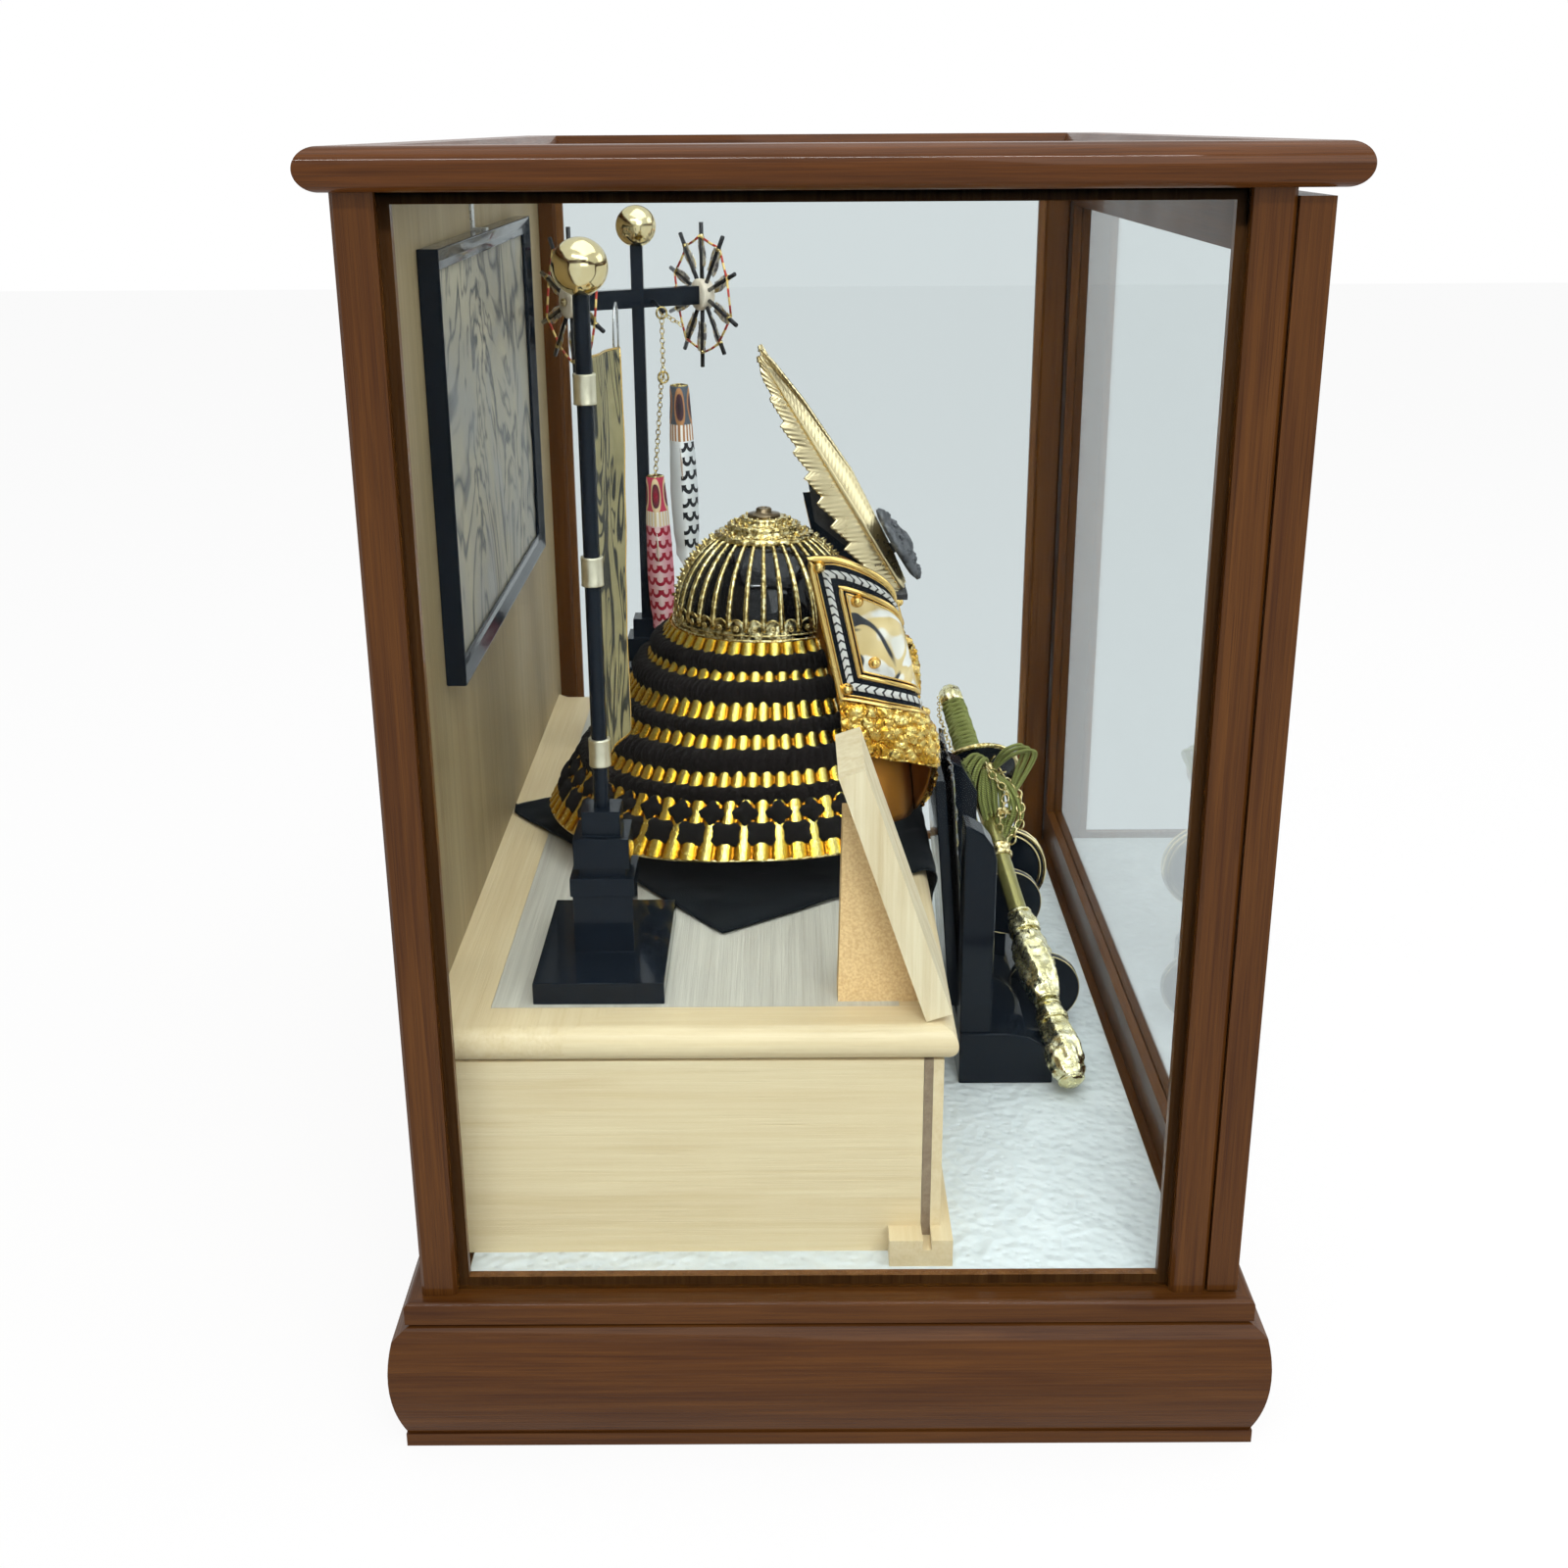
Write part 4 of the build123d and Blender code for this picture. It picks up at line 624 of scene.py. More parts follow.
def placing_tree(name, around):
    """Geometry nodes that set a pattern out: evenly round an axis, or on points with a turn and a size."""
    tree = bpy.data.node_groups.new(name, "GeometryNodeTree")
    asked = {"Geometry": "Geometry", "Pattern": "Object", "Finish": "Material", "Size": "Float"}
    if around:
        asked.update({"Count": "Int", "Reach": "Float", "Centre": "Vector"})
    for key, kind in asked.items():
        tree.interface.new_socket(key, in_out="INPUT", socket_type="NodeSocket" + kind)
    tree.interface.new_socket("Geometry", in_out="OUTPUT", socket_type="NodeSocketGeometry")
    bench = Bench(tree)
    given = bench.add("NodeGroupInput").outputs
    pattern = bench.add("GeometryNodeObjectInfo", {"Object": given["Pattern"]}).outputs["Geometry"]
    if around:
        points = bench.add(
            "GeometryNodeMeshCircle", {"Vertices": given["Count"], "Radius": given["Reach"]}
        ).outputs[0]
        step = bench.maths("DIVIDE", bench.add("GeometryNodeInputIndex").outputs[0], given["Count"])
        euler = bench.join(0.0, 0.0, bench.times(step, 2 * pi))
        size = given["Size"]
    else:
        points = given["Geometry"]
        euler = bench.add(
            "GeometryNodeInputNamedAttribute", {"Name": "turn"}, data_type="FLOAT_VECTOR"
        ).outputs[0]
        each = bench.add("GeometryNodeInputNamedAttribute", {"Name": "size"}, data_type="FLOAT").outputs[0]
        size = bench.times(each, given["Size"])
    turned = bench.add("FunctionNodeEulerToRotation", {"Euler": euler}).outputs[0]
    set_out = bench.add(
        "GeometryNodeInstanceOnPoints",
        {"Points": points, "Instance": pattern, "Rotation": turned, "Scale": size}
    )
    last = set_out.outputs[0]
    if around:
        last = bench.add(
            "GeometryNodeTransform", {"Geometry": last, "Translation": given["Centre"]}
        ).outputs[0]
    last = bench.add("GeometryNodeRealizeInstances", {"Geometry": last}).outputs[0]
    last = bench.add("GeometryNodeSetMaterial", {"Geometry": last, "Material": given["Finish"]}).outputs[0]
    bench.feed(bench.add("NodeGroupOutput").inputs[0], last)
    return tree


round_tree = placing_tree("set_round_axis", True)
point_tree = placing_tree("set_on_points", False)


def set_out(name, shape, finish, slot, places=None, smooth=True, **inputs):
    """Repeat a small shape: round an axis, or at (point, rotation matrix, size) places. Millimetres."""
    pattern = make(name + "_pattern", shape, finish, None, smooth, marked=True)
    mesh = bpy.data.meshes.new(name + "_points")
    if places:
        mesh.from_pydata([tuple(c * MM for c in place[0]) for place in places], [], [])
        turn = mesh.attributes.new("turn", "FLOAT_VECTOR", "POINT")
        turn.data.foreach_set("vector", [c for place in places for c in place[1].to_euler()])
        size = mesh.attributes.new("size", "FLOAT", "POINT")
        size.data.foreach_set("value", [place[2] for place in places])
    holder = placed(name + "_holder", mesh)
    setting = holder.modifiers.new("set_out", "NODES")
    setting.node_group = point_tree if places else round_tree
    values = {"Pattern": pattern, "Finish": finish.material, "Size": 1.0, **inputs}
    for item in setting.node_group.interface.items_tree:
        if item.in_out == "INPUT" and item.name in values:
            setting[item.identifier] = values[item.name]
    bpy.context.view_layer.update()
    done = bpy.data.meshes.new_from_object(holder.evaluated_get(bpy.context.evaluated_depsgraph_get()))
    done.name = name
    done.polygons.foreach_set("use_smooth", [smooth] * len(done.polygons))
    for spare in (holder, pattern):
        bpy.data.objects.remove(spare)
    piece = placed(name, done)
    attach(piece, "case")
    return piece


def thicken(piece, thickness, offset=-1.0):
    """Give a sheet its thickness: behind it at -1, half each way at 0."""
    plate = piece.modifiers.new("plate", "SOLIDIFY")
    plate.thickness, plate.offset = thickness, offset


def turns(count):
    """Angles set evenly round a full turn."""
    return np.linspace(0, 2 * pi, count + 1)[:-1]


def ripple(x, y, z):
    """Smooth noise at a point."""
    return noise.noise(Vector((x, y, z)))


def facing(way, up=(0, 0, 1)):
    """Rotation that turns local Z to a direction, and local Y as near as can be to up."""
    way = Vector(way).normalized()
    across = Vector(up).cross(way)
    across = across.normalized() if across.length > 1e-4 else Vector((1, 0, 0))
    return Matrix((across, way.cross(across), way)).transposed()


HELMET = Vector((0, 29.5, 0))
DOME, DOME_Z, BAND_Z = 48.0, 317.3, 312.6
RIB_LINE, RIBS = DOME + 0.35, 32


def bowl_radius(z):
    """Outer radius of the bowl at a height."""
    return math.sqrt(max(0.0, DOME * DOME - max(0.0, z - DOME_Z) ** 2))


gold = worn(
    "rib_gilt", (0.90, 0.74, 0.36), 500.0, (0.12, 0.3),
    [(0.3, (0.30, 0.21, 0.06)), (0.45, (0.66, 0.50, 0.19)), (0.62, (1.0, 0.88, 0.50))], (0.0002,),
    rough=0.18
)
bowl_gloss = lacquer("bowl_gloss", (0.003, 0.003, 0.004), 0.6, (0.04, 0.08), 0.0)
dome_profile = [(46.6, BAND_Z), (DOME - 0.3, BAND_Z)] + [
    (bowl_radius(DOME_Z + DOME * sin(t)), DOME_Z + DOME * sin(t)) for t in np.linspace(0.02, 1.35, 26)
]
inside = [(r - 1.4, z - 0.5) for r, z in dome_profile[:1:-1]]
shell = make("bowl_shell", lathe(dome_profile + inside, HELMET, sides=128), bowl_gloss)
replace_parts(shell, "helmet_bowl")

rib_turns = [radians(61.0) * k / 13 for k in range(14)]
rib_path = [(RIB_LINE * cos(t), 0, DOME_Z + RIB_LINE * sin(t)) for t in rib_turns]
rib_size = [1.8 - 0.06 * k for k in range(14)]
round_helmet = {"Count": RIBS, "Reach": 0.0, "Centre": HELMET * MM}
set_out("bowl_ribs", tube(rib_path, rib_size, 8), gold, "gold_plate", **round_helmet)


def scallop(turn):
    """Height of the band's scalloped upper edge."""
    return BAND_Z + 5.6 + 5.4 * abs(sin(turn * RIBS / 2)) ** 0.6


def band_skin(u, v):
    turn = 2 * pi * u
    reach = 49.9 - 1.3 * v + 0.5 * sin(pi * min(1.0, 2.2 * v))
    return (reach * cos(turn), HELMET.y + reach * sin(turn), BAND_Z + v * (scallop(turn) - BAND_Z))


# The band's colour runs from near black to bright gold over noise: painted reflections on the polished
# band.
band_painted_reflection_gold = worn(
    "band_gilt_painted_reflection", (0.72, 0.62, 0.34), 260.0, (0.1, 0.26),
    [
        (0.36, (0.03, 0.022, 0.010)), (0.46, (0.22, 0.17, 0.07)), (0.56, (0.70, 0.60, 0.32)),
        (0.68, (1.0, 0.93, 0.62))
    ],
    (0.0007, 0.8), rough=0.16
)
band = make("bowl_band_plate", surface(band_skin, 384, 8, round_u=True), band_painted_reflection_gold)
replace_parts(band, "bowl_band")
edge_line = [(48.9 * cos(a), HELMET.y + 48.9 * sin(a), scallop(a)) for a in turns(384)]
edges = [tube(edge_line, 0.55, 6, closed=True)]
for z, size, reach in ((BAND_Z, 1.15, 50.0), (BAND_Z + 3.0, 0.45, 50.1)):
    edges.append(tube(
        [(reach * cos(a), HELMET.y + reach * sin(a), z) for a in turns(96)], size, 8, closed=True
    ))
make("band_edges", edges, gold)
pip_turn = pi / RIBS
rosette_dot = lathe(
    [(1.7, -0.2), (1.7, 0.5), (1.1, 0.7), (0.9, 0.3), (0.6, 0.9), (0.01, 1.2)],
    (49.6 * cos(pip_turn), 49.6 * sin(pip_turn), BAND_Z + 6.3), (cos(pip_turn), sin(pip_turn), 0), 10
)
set_out("band_dots", rosette_dot, gold, "gold_plate", **round_helmet)

knob_shape = lathe([(1.0, 0), (1.25, 0.7), (0.9, 1.6), (0.35, 2.5), (0.01, 2.9)], sides=6)
knob_places = []
for middle in (-90, 90):
    for step in range(-1, 2):
        turn = radians(middle + 11.25 * step)
        for rise in range(9):
            slope = radians(10 + 5.6 * rise)
            way = Vector((cos(turn) * cos(slope), sin(turn) * cos(slope), sin(slope)))
            knob_places.append(
                (
                    HELMET + Vector((0, 0, DOME_Z)) + way * (DOME + 0.6), facing(way),
                    1.15 if step % 2 == 0 else 0.95
                )
            )
set_out("bowl_knobs", knob_shape, gold, "gold_plate", places=knob_places)

crown_profile = [
    (24.0, 357.0), (25.8, 358.2), (25.8, 360.6), (22.6, 361.3), (19.2, 361.8), (19.0, 364.2), (19.4, 365.4),
    (16.4, 366.0), (13.0, 366.4), (12.8, 368.0), (13.0, 368.8), (10.6, 369.3), (7.0, 369.6), (0.01, 369.7)
]


def petals(turn, distance):
    return 1.0 + 0.05 * abs(sin(10 * turn)) * (1 if distance < 361 else 0.7)


make("crown_disc", lathe(crown_profile, HELMET, (0, 0, 1), 96, petals), gold)
random.seed(7)
granules = []
for reach, z, count, size in (
    (23.4, 361.0, 40, 0.6), (20.8, 361.4, 20, 0.8), (17.6, 365.6, 30, 0.55), (15.0, 366.2, 16, 0.7),
    (11.4, 369.0, 22, 0.45)
):
    for k in range(count):
        turn = 2 * pi * (k + 0.3 * random.random()) / count
        point = (reach * cos(turn), HELMET.y + reach * sin(turn), z + random.uniform(-0.5, 0.6))
        lean = Vector((cos(turn) * 0.6, sin(turn) * 0.6, 1.0))
        granules.append((point, facing(lean), size * random.uniform(0.75, 1.25)))
grain_shape = lathe([(1.1, -0.6), (1.5, 0.2), (1.25, 1.0), (0.6, 1.6), (0.01, 1.75)], sides=7)
set_out("crown_granules", grain_shape, gold, "gold_plate", places=granules)
bronze = worn(
    "dark_bronze", (0.23, 0.17, 0.10), 300.0, (0.25, 0.5), ((0.09, 0.07, 0.05), (0.36, 0.27, 0.16)),
    rough=0.32
)
washer = lathe(
    [
        (8.6, 369.4), (9.0, 370.0), (8.6, 370.7), (5.0, 371.2), (4.2, 371.6), (4.2, 373.2), (3.4, 373.9),
        (1.6, 373.9), (1.4, 373.0), (0.01, 372.9)
    ],
    HELMET, sides=32
)
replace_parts(make("crown_button", washer, bronze), "crown_fitting")


# ---------------------------------------------------------------- neck guard
# Five flared lames: bright gilt fluted strips laced together with thick black cord, and a broad
# fluted hem with knotted black stars and squares. The inside is plain amber gilt.
GUARD_TOP, GUARD_FALL = 312.0, 97.0
OPEN_HALF = radians(56.0)
FLUTES = 51
OUT_FLAT, OUT_UP = 0.84, 0.54


def guard_turn(share):
    return -pi / 2 + OPEN_HALF + share * (2 * pi - 2 * OPEN_HALF)


def guard_point(share, drop, lift=0.0):
    """Share runs round the guard from one front end to the other, and drop from 0 at its top to 1."""
    turn = guard_turn(share)
    reach = 51.0 + 63.5 * drop + lift * OUT_FLAT
    sag = 6.0 * drop * max(0.0, sin(turn))
    z = GUARD_TOP - GUARD_FALL * drop - sag + lift * OUT_UP
    return Vector((reach * cos(turn), 30.0 + 6.0 * drop + reach * sin(turn), z))


def guard_out(share):
    turn = guard_turn(share)
    return Vector((cos(turn) * OUT_FLAT, sin(turn) * OUT_FLAT, OUT_UP))


# The flutes' colour ramp paints shade into the valleys between flutes and a highlight along each ridge;
# crinkle noise adds random tone.
flute_gold = Finish("fluted_gilt_painted_light", (0.95, 0.66, 0.14), 0.2, 1.0)
along = flute_gold.split(flute_gold.own("UV"))[0]
wave = flute_gold.bare(flute_gold.maths("SINE", flute_gold.times(along, pi)))
crinkle = flute_gold.noise(flute_gold.scaled(flute_gold.own("UV"), (11.0, 16.0, 1.0)), 1.0, 3.0, 0.4)
flute_shade_highlight_and_crinkle = flute_gold.plus(flute_gold.times(wave, 0.75), flute_gold.times(crinkle, 0.45))
flute_gold.set(
    Base_Color=flute_gold.ramp(
        flute_shade_highlight_and_crinkle,
        [
            (0.14, (0.10, 0.030, 0.002)), (0.34, (0.42, 0.15, 0.006)), (0.60, (0.84, 0.42, 0.02)),
            (0.80, (1.0, 0.66, 0.07)), (1.0, (1.0, 0.84, 0.26))
        ]
    ),
    Roughness=flute_gold.span(crinkle, 0.3, 0.7, 0.1, 0.3),
)
flute_gold.bump(crinkle, 0.0003)
lace = Finish("black_lace", (0.006, 0.005, 0.005), 0.9, Sheen_Weight=0.04, Specular_IOR_Level=0.08)
strands = lace.noise(lace.scaled(lace.own("UV"), (420.0, 9.0, 1.0)), 1.0, 3.0, 0.8)
lace.set(Base_Color=lace.blend(strands, (0.0015, 0.001, 0.001), (0.014, 0.010, 0.009)))
lace.bump(strands, 0.0012, 0.9)

GOLD_ROWS = (
    (0.0, 0.075, 1.3, 32), (0.130, 0.200, 1.5, 37), (0.264, 0.376, 1.7, 42), (0.416, 0.512, 1.7, 47),
    (0.584, 0.682, 1.9, 53), (0.710, 1.0, 2.0, FLUTES)
)
LACE_ROWS = (
    (0.058, 0.142, 3.4, 0), (0.180, 0.288, 4.6, 1), (0.362, 0.436, 3.8, 2), (0.494, 0.608, 5.0, 3),
    (0.666, 0.736, 3.6, 4)
)
rows = []
for top_edge, foot_edge, depth, count in GOLD_ROWS:
    def fluted(u, v, top=top_edge, foot=foot_edge, deep=depth, count=count):
        arch = abs(sin(pi * count * u))
        return guard_point(
            u, top + (foot - top) * v, deep * arch ** 0.55 + 0.3 * sin(7 * v + 60 * u) * arch
        )
    points, faces, marks = surface(fluted, count * 8, 4, flip=True)
    rows.append((points, faces, [(u * count, v) for u, v in marks]))
hem = make("guard_gold_rows", rows, flute_gold, marked=True)
lacings = []
for row, (top_edge, foot_edge, stout, above) in enumerate(LACE_ROWS):
    def laced(u, v, top=top_edge, foot=foot_edge, row=row, stout=stout, above=above):
        gap_above = (1 - abs(sin(pi * GOLD_ROWS[above][3] * u))) ** 1.6
        gap_below = (1 - abs(sin(pi * GOLD_ROWS[above + 1][3] * u))) ** 1.2
        ragged = ripple(u * 110, v * 2, row * 5.0)
        edge = (0.014 * gap_below + 0.007 * ragged) * max(0.0, 2 * v - 1) ** 2
        edge -= (0.011 * gap_above + 0.006 * ragged) * max(0.0, 1 - 2 * v) ** 2
        beat = pi * FLUTES * u + 0.4 * row
        swell = stout * sin(pi * v) ** 0.55 * (0.82 + 0.3 * ripple(u * 24, 3.0, row))
        cords = 1.4 * abs(sin(1.5 * beat + 1.3 * sin(3.0 * v) + 0.8 * ripple(u * 30, v, row))) ** 0.7
        fuzz = 0.5 * ripple(u * 420, v * 9, row)
        return guard_point(
            u, top + (foot - top) * v + edge, 0.4 + swell + (cords + fuzz) * (0.2 + 0.8 * sin(pi * v))
        )
    lacings.append(surface(laced, FLUTES * 12, 12, flip=True))
make("guard_lacing", lacings, lace, marked=True)

amber = worn(
    "amber_gilt", (0.86, 0.46, 0.08), 60.0, (0.2, 0.42), ((0.62, 0.27, 0.03), (0.98, 0.62, 0.16)),
    (0.0006,), rough=0.28
)
lining = make(
    "guard_lining", surface(lambda u, v: guard_point(u, v, -0.3), 132, 12, flip=True), amber
)
thicken(lining, 0.0012)
edge_path = [guard_point(k / 180, 1.0, 0.4) for k in range(181)]
ends = [tube([guard_point(s, d / 24, 0.6) for d in range(25)], 1.0, 8) for s in (0.0, 1.0)]
make("guard_edging", together(tube(edge_path, 0.9, 8), *ends), gold)


def puff(outline, height, rings=5, sides=32):
    """A stuffed knot: a low dome over a lobed outline given as radius of angle."""
    def dome(u, v):
        turn = 2 * pi * u
        reach = outline(turn) * (1 - v) ** 0.6
        thread = 0.18 * sin(9 * turn + 7 * v)
        return (reach * cos(turn), reach * sin(turn), height * sin(pi / 2 * v) ** 0.8 + thread * v)
    return surface(dome, sides, rings, round_u=True)


star = puff(lambda t: 6.1 * (1 + 0.20 * cos(4 * t)) * (1 + 0.06 * cos(12 * t + 1)), 3.0)
square = puff(lambda t: 6.6 * (1 + 0.15 * cos(4 * t + pi)) * (1 + 0.05 * cos(12 * t)), 2.8)
square = ([(1.25 * x, y, z) for x, y, z in square[0]], *square[1:])
star_places, square_places = [], []
for k in range(25):
    for share, drop, places in (
        ((2 * k + 1.5) / FLUTES, 0.787, star_places), ((2 * k + 2.5) / FLUTES, 0.880, square_places)
    ):
        if share < 0.985:
            places.append((guard_point(share, drop, 1.2), facing(guard_out(share)), 1.0))
set_out("hem_stars", star, lace, "black_cloth", places=star_places)
set_out("hem_squares", square, lace, "black_cloth", places=square_places)
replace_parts(hem, "neck_guard_lames")

# ---------------------------------------------------------------- turned-back side plates
# A gilt-framed plate at each end of the guard, rolled at the nose: black channel with a chevron
# braid, inner gilt frame round a swirled panel, gilt studs, and a nugget-cast curl underneath.
PLATE_FALL, PLATE_FLAT, ROLL_RADIUS, PLATE_LENGTH, CURL_FALL = 67.0, 20.0, 24.0, 72.0, 106.0
CURL_LENGTH, BACK_FALL = PLATE_LENGTH + 4, 62


def plate_point(side, a, b, lift=0.0):
    """a runs forward along the plate and round its nose, b down from its top edge."""
    head = 366.0 - 26.0 * (max(0.0, a - 12.0) / 46.0) ** 1.5
    foot = 291.0 - 13.5 * min(1.3, a / 58.0) ** 1.3
    hem = float(np.interp(a, (0, 30, 58, 66, 74, 90), (263.5, 258.0, 248.0, 234.0, 222.0, 216.0)))
    past = max(0.0, (b - PLATE_FALL) / (CURL_FALL - PLATE_FALL))
    z = head + (foot - head) * min(1.0, b / PLATE_FALL) + (hem - foot) * past
    y = 7.7 - 17.0 * min(1.0, b / PLATE_FALL) - 1.8 * past - min(a, PLATE_FLAT)
    turn = max(0.0, (a - PLATE_FLAT) / ROLL_RADIUS)
    y -= (ROLL_RADIUS + 4.0 * past + lift) * sin(turn)
    x = -84.0 - 2.0 * min(1.0, b / PLATE_FALL) + 15.0 * (1 - cos(turn)) - lift * cos(turn)
    return Vector((-side * x, y, z))


def plate_loop(side, inset, lift, steps=26):
    """A loop just inside the plate's edge."""
    left, head, tail, low = inset, inset, PLATE_LENGTH - inset, PLATE_FALL - inset
    ways = (
        (left, head, tail, head), (tail, head, tail, low), (tail, low, left, low), (left, low, left, head)
    )
    loop = []
    for a0, b0, a1, b1 in ways:
        for k in range(steps):
            share = k / steps
            loop.append(plate_point(side, a0 + (a1 - a0) * share, b0 + (b1 - b0) * share, lift))
    return loop


def ribbon(side, inset, wide, lift):
    """A flat braid laid along the plate's loop; u is across it and v along it in millimetres."""
    lines = ((inset, lift), (inset + wide / 2, lift + 1.1), (inset + wide, lift))
    outer, middle, inner = (plate_loop(side, far, high, steps=40) for far, high in lines)
    points, marks, faces, run = [], [], [], 0.0
    count = len(outer)
    for k in range(count + 1):
        if k:
            run += (middle[k % count] - middle[k - 1]).length
        for across, line in enumerate((outer, middle, inner)):
            points.append(line[k % count])
            marks.append((across / 2, run))
    for k in range(count):
        for across in range(2):
            a = 3 * k + across
            faces.append((a, a + 3, a + 4, a + 1) if side > 0 else (a, a + 1, a + 4, a + 3))
    return points, faces, marks


frame_gold = worn(
    "frame_gilt", (0.93, 0.66, 0.20), 70.0, (0.12, 0.28), ((0.84, 0.50, 0.13), (1.0, 0.76, 0.30)),
    (0.0003,), rough=0.2
)
braid = Finish("chevron_braid", (0.85, 0.84, 0.80), 0.6, Sheen_Weight=0.2)
across, run = braid.split(braid.own("UV"))[0:2]
fold = braid.times(braid.bare(braid.minus(across, 0.5)), 3.4)
beat = braid.maths("FRACT", braid.maths("DIVIDE", braid.plus(run, fold), 4.6))
twist = braid.noise(braid.scaled(braid.own("UV"), (40.0, 3.0, 1.0)), 1.0, 2.0)
braid.set(Base_Color=braid.blend(
    braid.maths("LESS_THAN", beat, 0.27), braid.blend(twist, (0.62, 0.61, 0.57), (0.92, 0.91, 0.87)),
    (0.01, 0.01, 0.012)
))
braid.bump(braid.plus(beat, twist), 0.0006)
swirled = Finish("swirled_panel", (0.75, 0.62, 0.36), 0.3, 0.0, Coat_Weight=0.2, Coat_Roughness=0.1)
flow = swirled.noise(swirled.scaled(swirled.own(), (26.0, 26.0, 22.0)), 1.0, 1.5, 1.9)
pools = swirled.noise(swirled.own(), 34.0, 1.5, 1.2)
leafing = swirled.ramp(
    flow,
    [
        (0.36, (0.03, 0.032, 0.04)), (0.40, (0.80, 0.79, 0.74)), (0.455, (0.86, 0.84, 0.78)),
        (0.475, (0.70, 0.53, 0.24)), (0.60, (0.80, 0.64, 0.33)), (0.64, (0.88, 0.85, 0.76))
    ]
)
swirled.set(
    Base_Color=swirled.blend(swirled.span(pools, 0.61, 0.635), leafing, (0.035, 0.04, 0.05)),
    Metallic=swirled.span(swirled.noise(swirled.own(), 60.0, 2.0), 0.45, 0.6, 0.0, 0.55),
)
swirled.bump(flow, 0.0012)
nugget_group, bench, given, wanted = new_group(
    "nugget_cast", {"Vector": "Vector", "Scale": "Float", "Bright": "Color", "Deep": "Color"},
    {"Color": "Color", "Height": "Float", "Roughness": "Float"},
)
lumps = bench.add(
    "TexVoronoi", {"Vector": given["Vector"], "Scale": given["Scale"]}, feature="F1"
).outputs["Distance"]
fine = bench.noise(given["Vector"], 420.0, 2.0)
height = bench.minus(bench.times(fine, 0.35), lumps)
bench.feed(wanted["Color"], bench.blend(bench.span(height, -0.5, 0.05), given["Deep"], given["Bright"]))
bench.feed(wanted["Height"], height)
bench.feed(wanted["Roughness"], bench.span(fine, 0.3, 0.7, 0.12, 0.36))


def nugget(name, bright, deep, scale, depth=0.0012):
    finish = Finish(name, bright, 0.2, 1.0)
    cast = finish.use(nugget_group, Vector=finish.own(), Scale=scale, Bright=bright, Deep=deep)
    finish.set(Base_Color=cast["Color"], Roughness=cast["Roughness"])
    finish.bump(cast["Height"], depth, 0.9)
    return finish


nugget_gold = nugget("nugget_gilt", (1.0, 0.79, 0.28), (0.66, 0.35, 0.04), 170.0, 0.0009)
base_parts, panel_parts, frame_parts, braid_parts, curl_parts, inner_parts, stud_places, backs = (
    [] for _ in range(8)
)
for side in (-1, 1):
    outward = side > 0
    base_parts.append(surface(
        lambda u, v: plate_point(side, u * PLATE_LENGTH, v * PLATE_FALL), 60, 24, flip=not outward
    ))

    def cushioned(u, v):
        return plate_point(side, 16 + u * 46, 15.5 + v * 36, 0.9 + 0.8 * sin(pi * u) * sin(pi * v))

    panel_parts.append(surface(cushioned, 48, 30, flip=not outward))
    for inset, lift, stout, sides in (
        (1.3, 0.6, 1.7, 8), (3.5, 0.3, 0.45, 6), (13.5, 0.8, 1.35, 8), (16.0, 0.9, 0.5, 6)
    ):
        frame_parts.append(tube(plate_loop(side, inset, lift), stout, sides, closed=True))
    braid_parts.append(ribbon(side, 6.2, 3.5, 0.5))
    for a, b in (
        (5.2, 4.6), (5.5, PLATE_FALL - 6.5), (66, 7), (60, PLATE_FALL - 3), (21, 18), (23, 45.5), (57, 40)
    ):
        here = plate_point(side, a, b, 0.8)
        stud_places.append((here, facing(plate_point(side, a, b, 2.0) - here), 1.3))

    def curled(u, v):
        a, b = u * CURL_LENGTH, PLATE_FALL - 1 + v * 39
        swell = 1.5 + 3.2 * sin(pi * (0.12 + 0.8 * v))
        place = plate_point(side, a, b, swell)
        gaps, nearest = noise.voronoi(place * 0.18)
        tilt = noise.noise_vector(nearest[0] * 7.3)
        flake = 1.2 * min(0.25, gaps[1] - gaps[0]) / 0.25 + 2.6 * tilt.dot(place * 0.18 - nearest[0])
        return plate_point(side, a, b, swell + flake + 0.5 * noise.noise(place * 0.8))

    curl_parts.append(surface(curled, 150, 62, flip=not outward))
    backs.append(surface(
        lambda u, v: plate_point(side, u * CURL_LENGTH, v * BACK_FALL, -1.7), 60, 20, flip=outward
    ))
    inner_parts.append(surface(
        lambda u, v: plate_point(side, u * CURL_LENGTH, BACK_FALL + v * (CURL_FALL - BACK_FALL - 1), -1.6),
        60, 12, flip=outward
    ))

    def inner_wall(u, v):
        nose = plate_point(side, CURL_LENGTH, v * (CURL_FALL - 1), -1.6)
        end_share = 0.0 if side > 0 else 1.0
        root = guard_point(
            end_share, 0.9 * (v - 0.25) / 0.75
        ) if v > 0.25 else guard_point(end_share, 0.0) + Vector((0, 0, 30.0 * (0.25 - v) / 0.25))
        bow = Vector((side * 4.0, -5.0, 0)) * sin(pi * u)
        return nose.lerp(root, u) + bow

    inner_parts.append(surface(inner_wall, 24, 36, flip=outward))
plates = make("wing_plates", base_parts, black_gloss)
make("wing_backs", backs, black_gloss)
thicken(plates, 0.0012)
make("wing_panels", panel_parts, swirled)
make("wing_frames", frame_parts, frame_gold)
make("wing_braid", braid_parts, braid, marked=True)
make("wing_curls", curl_parts, nugget_gold)
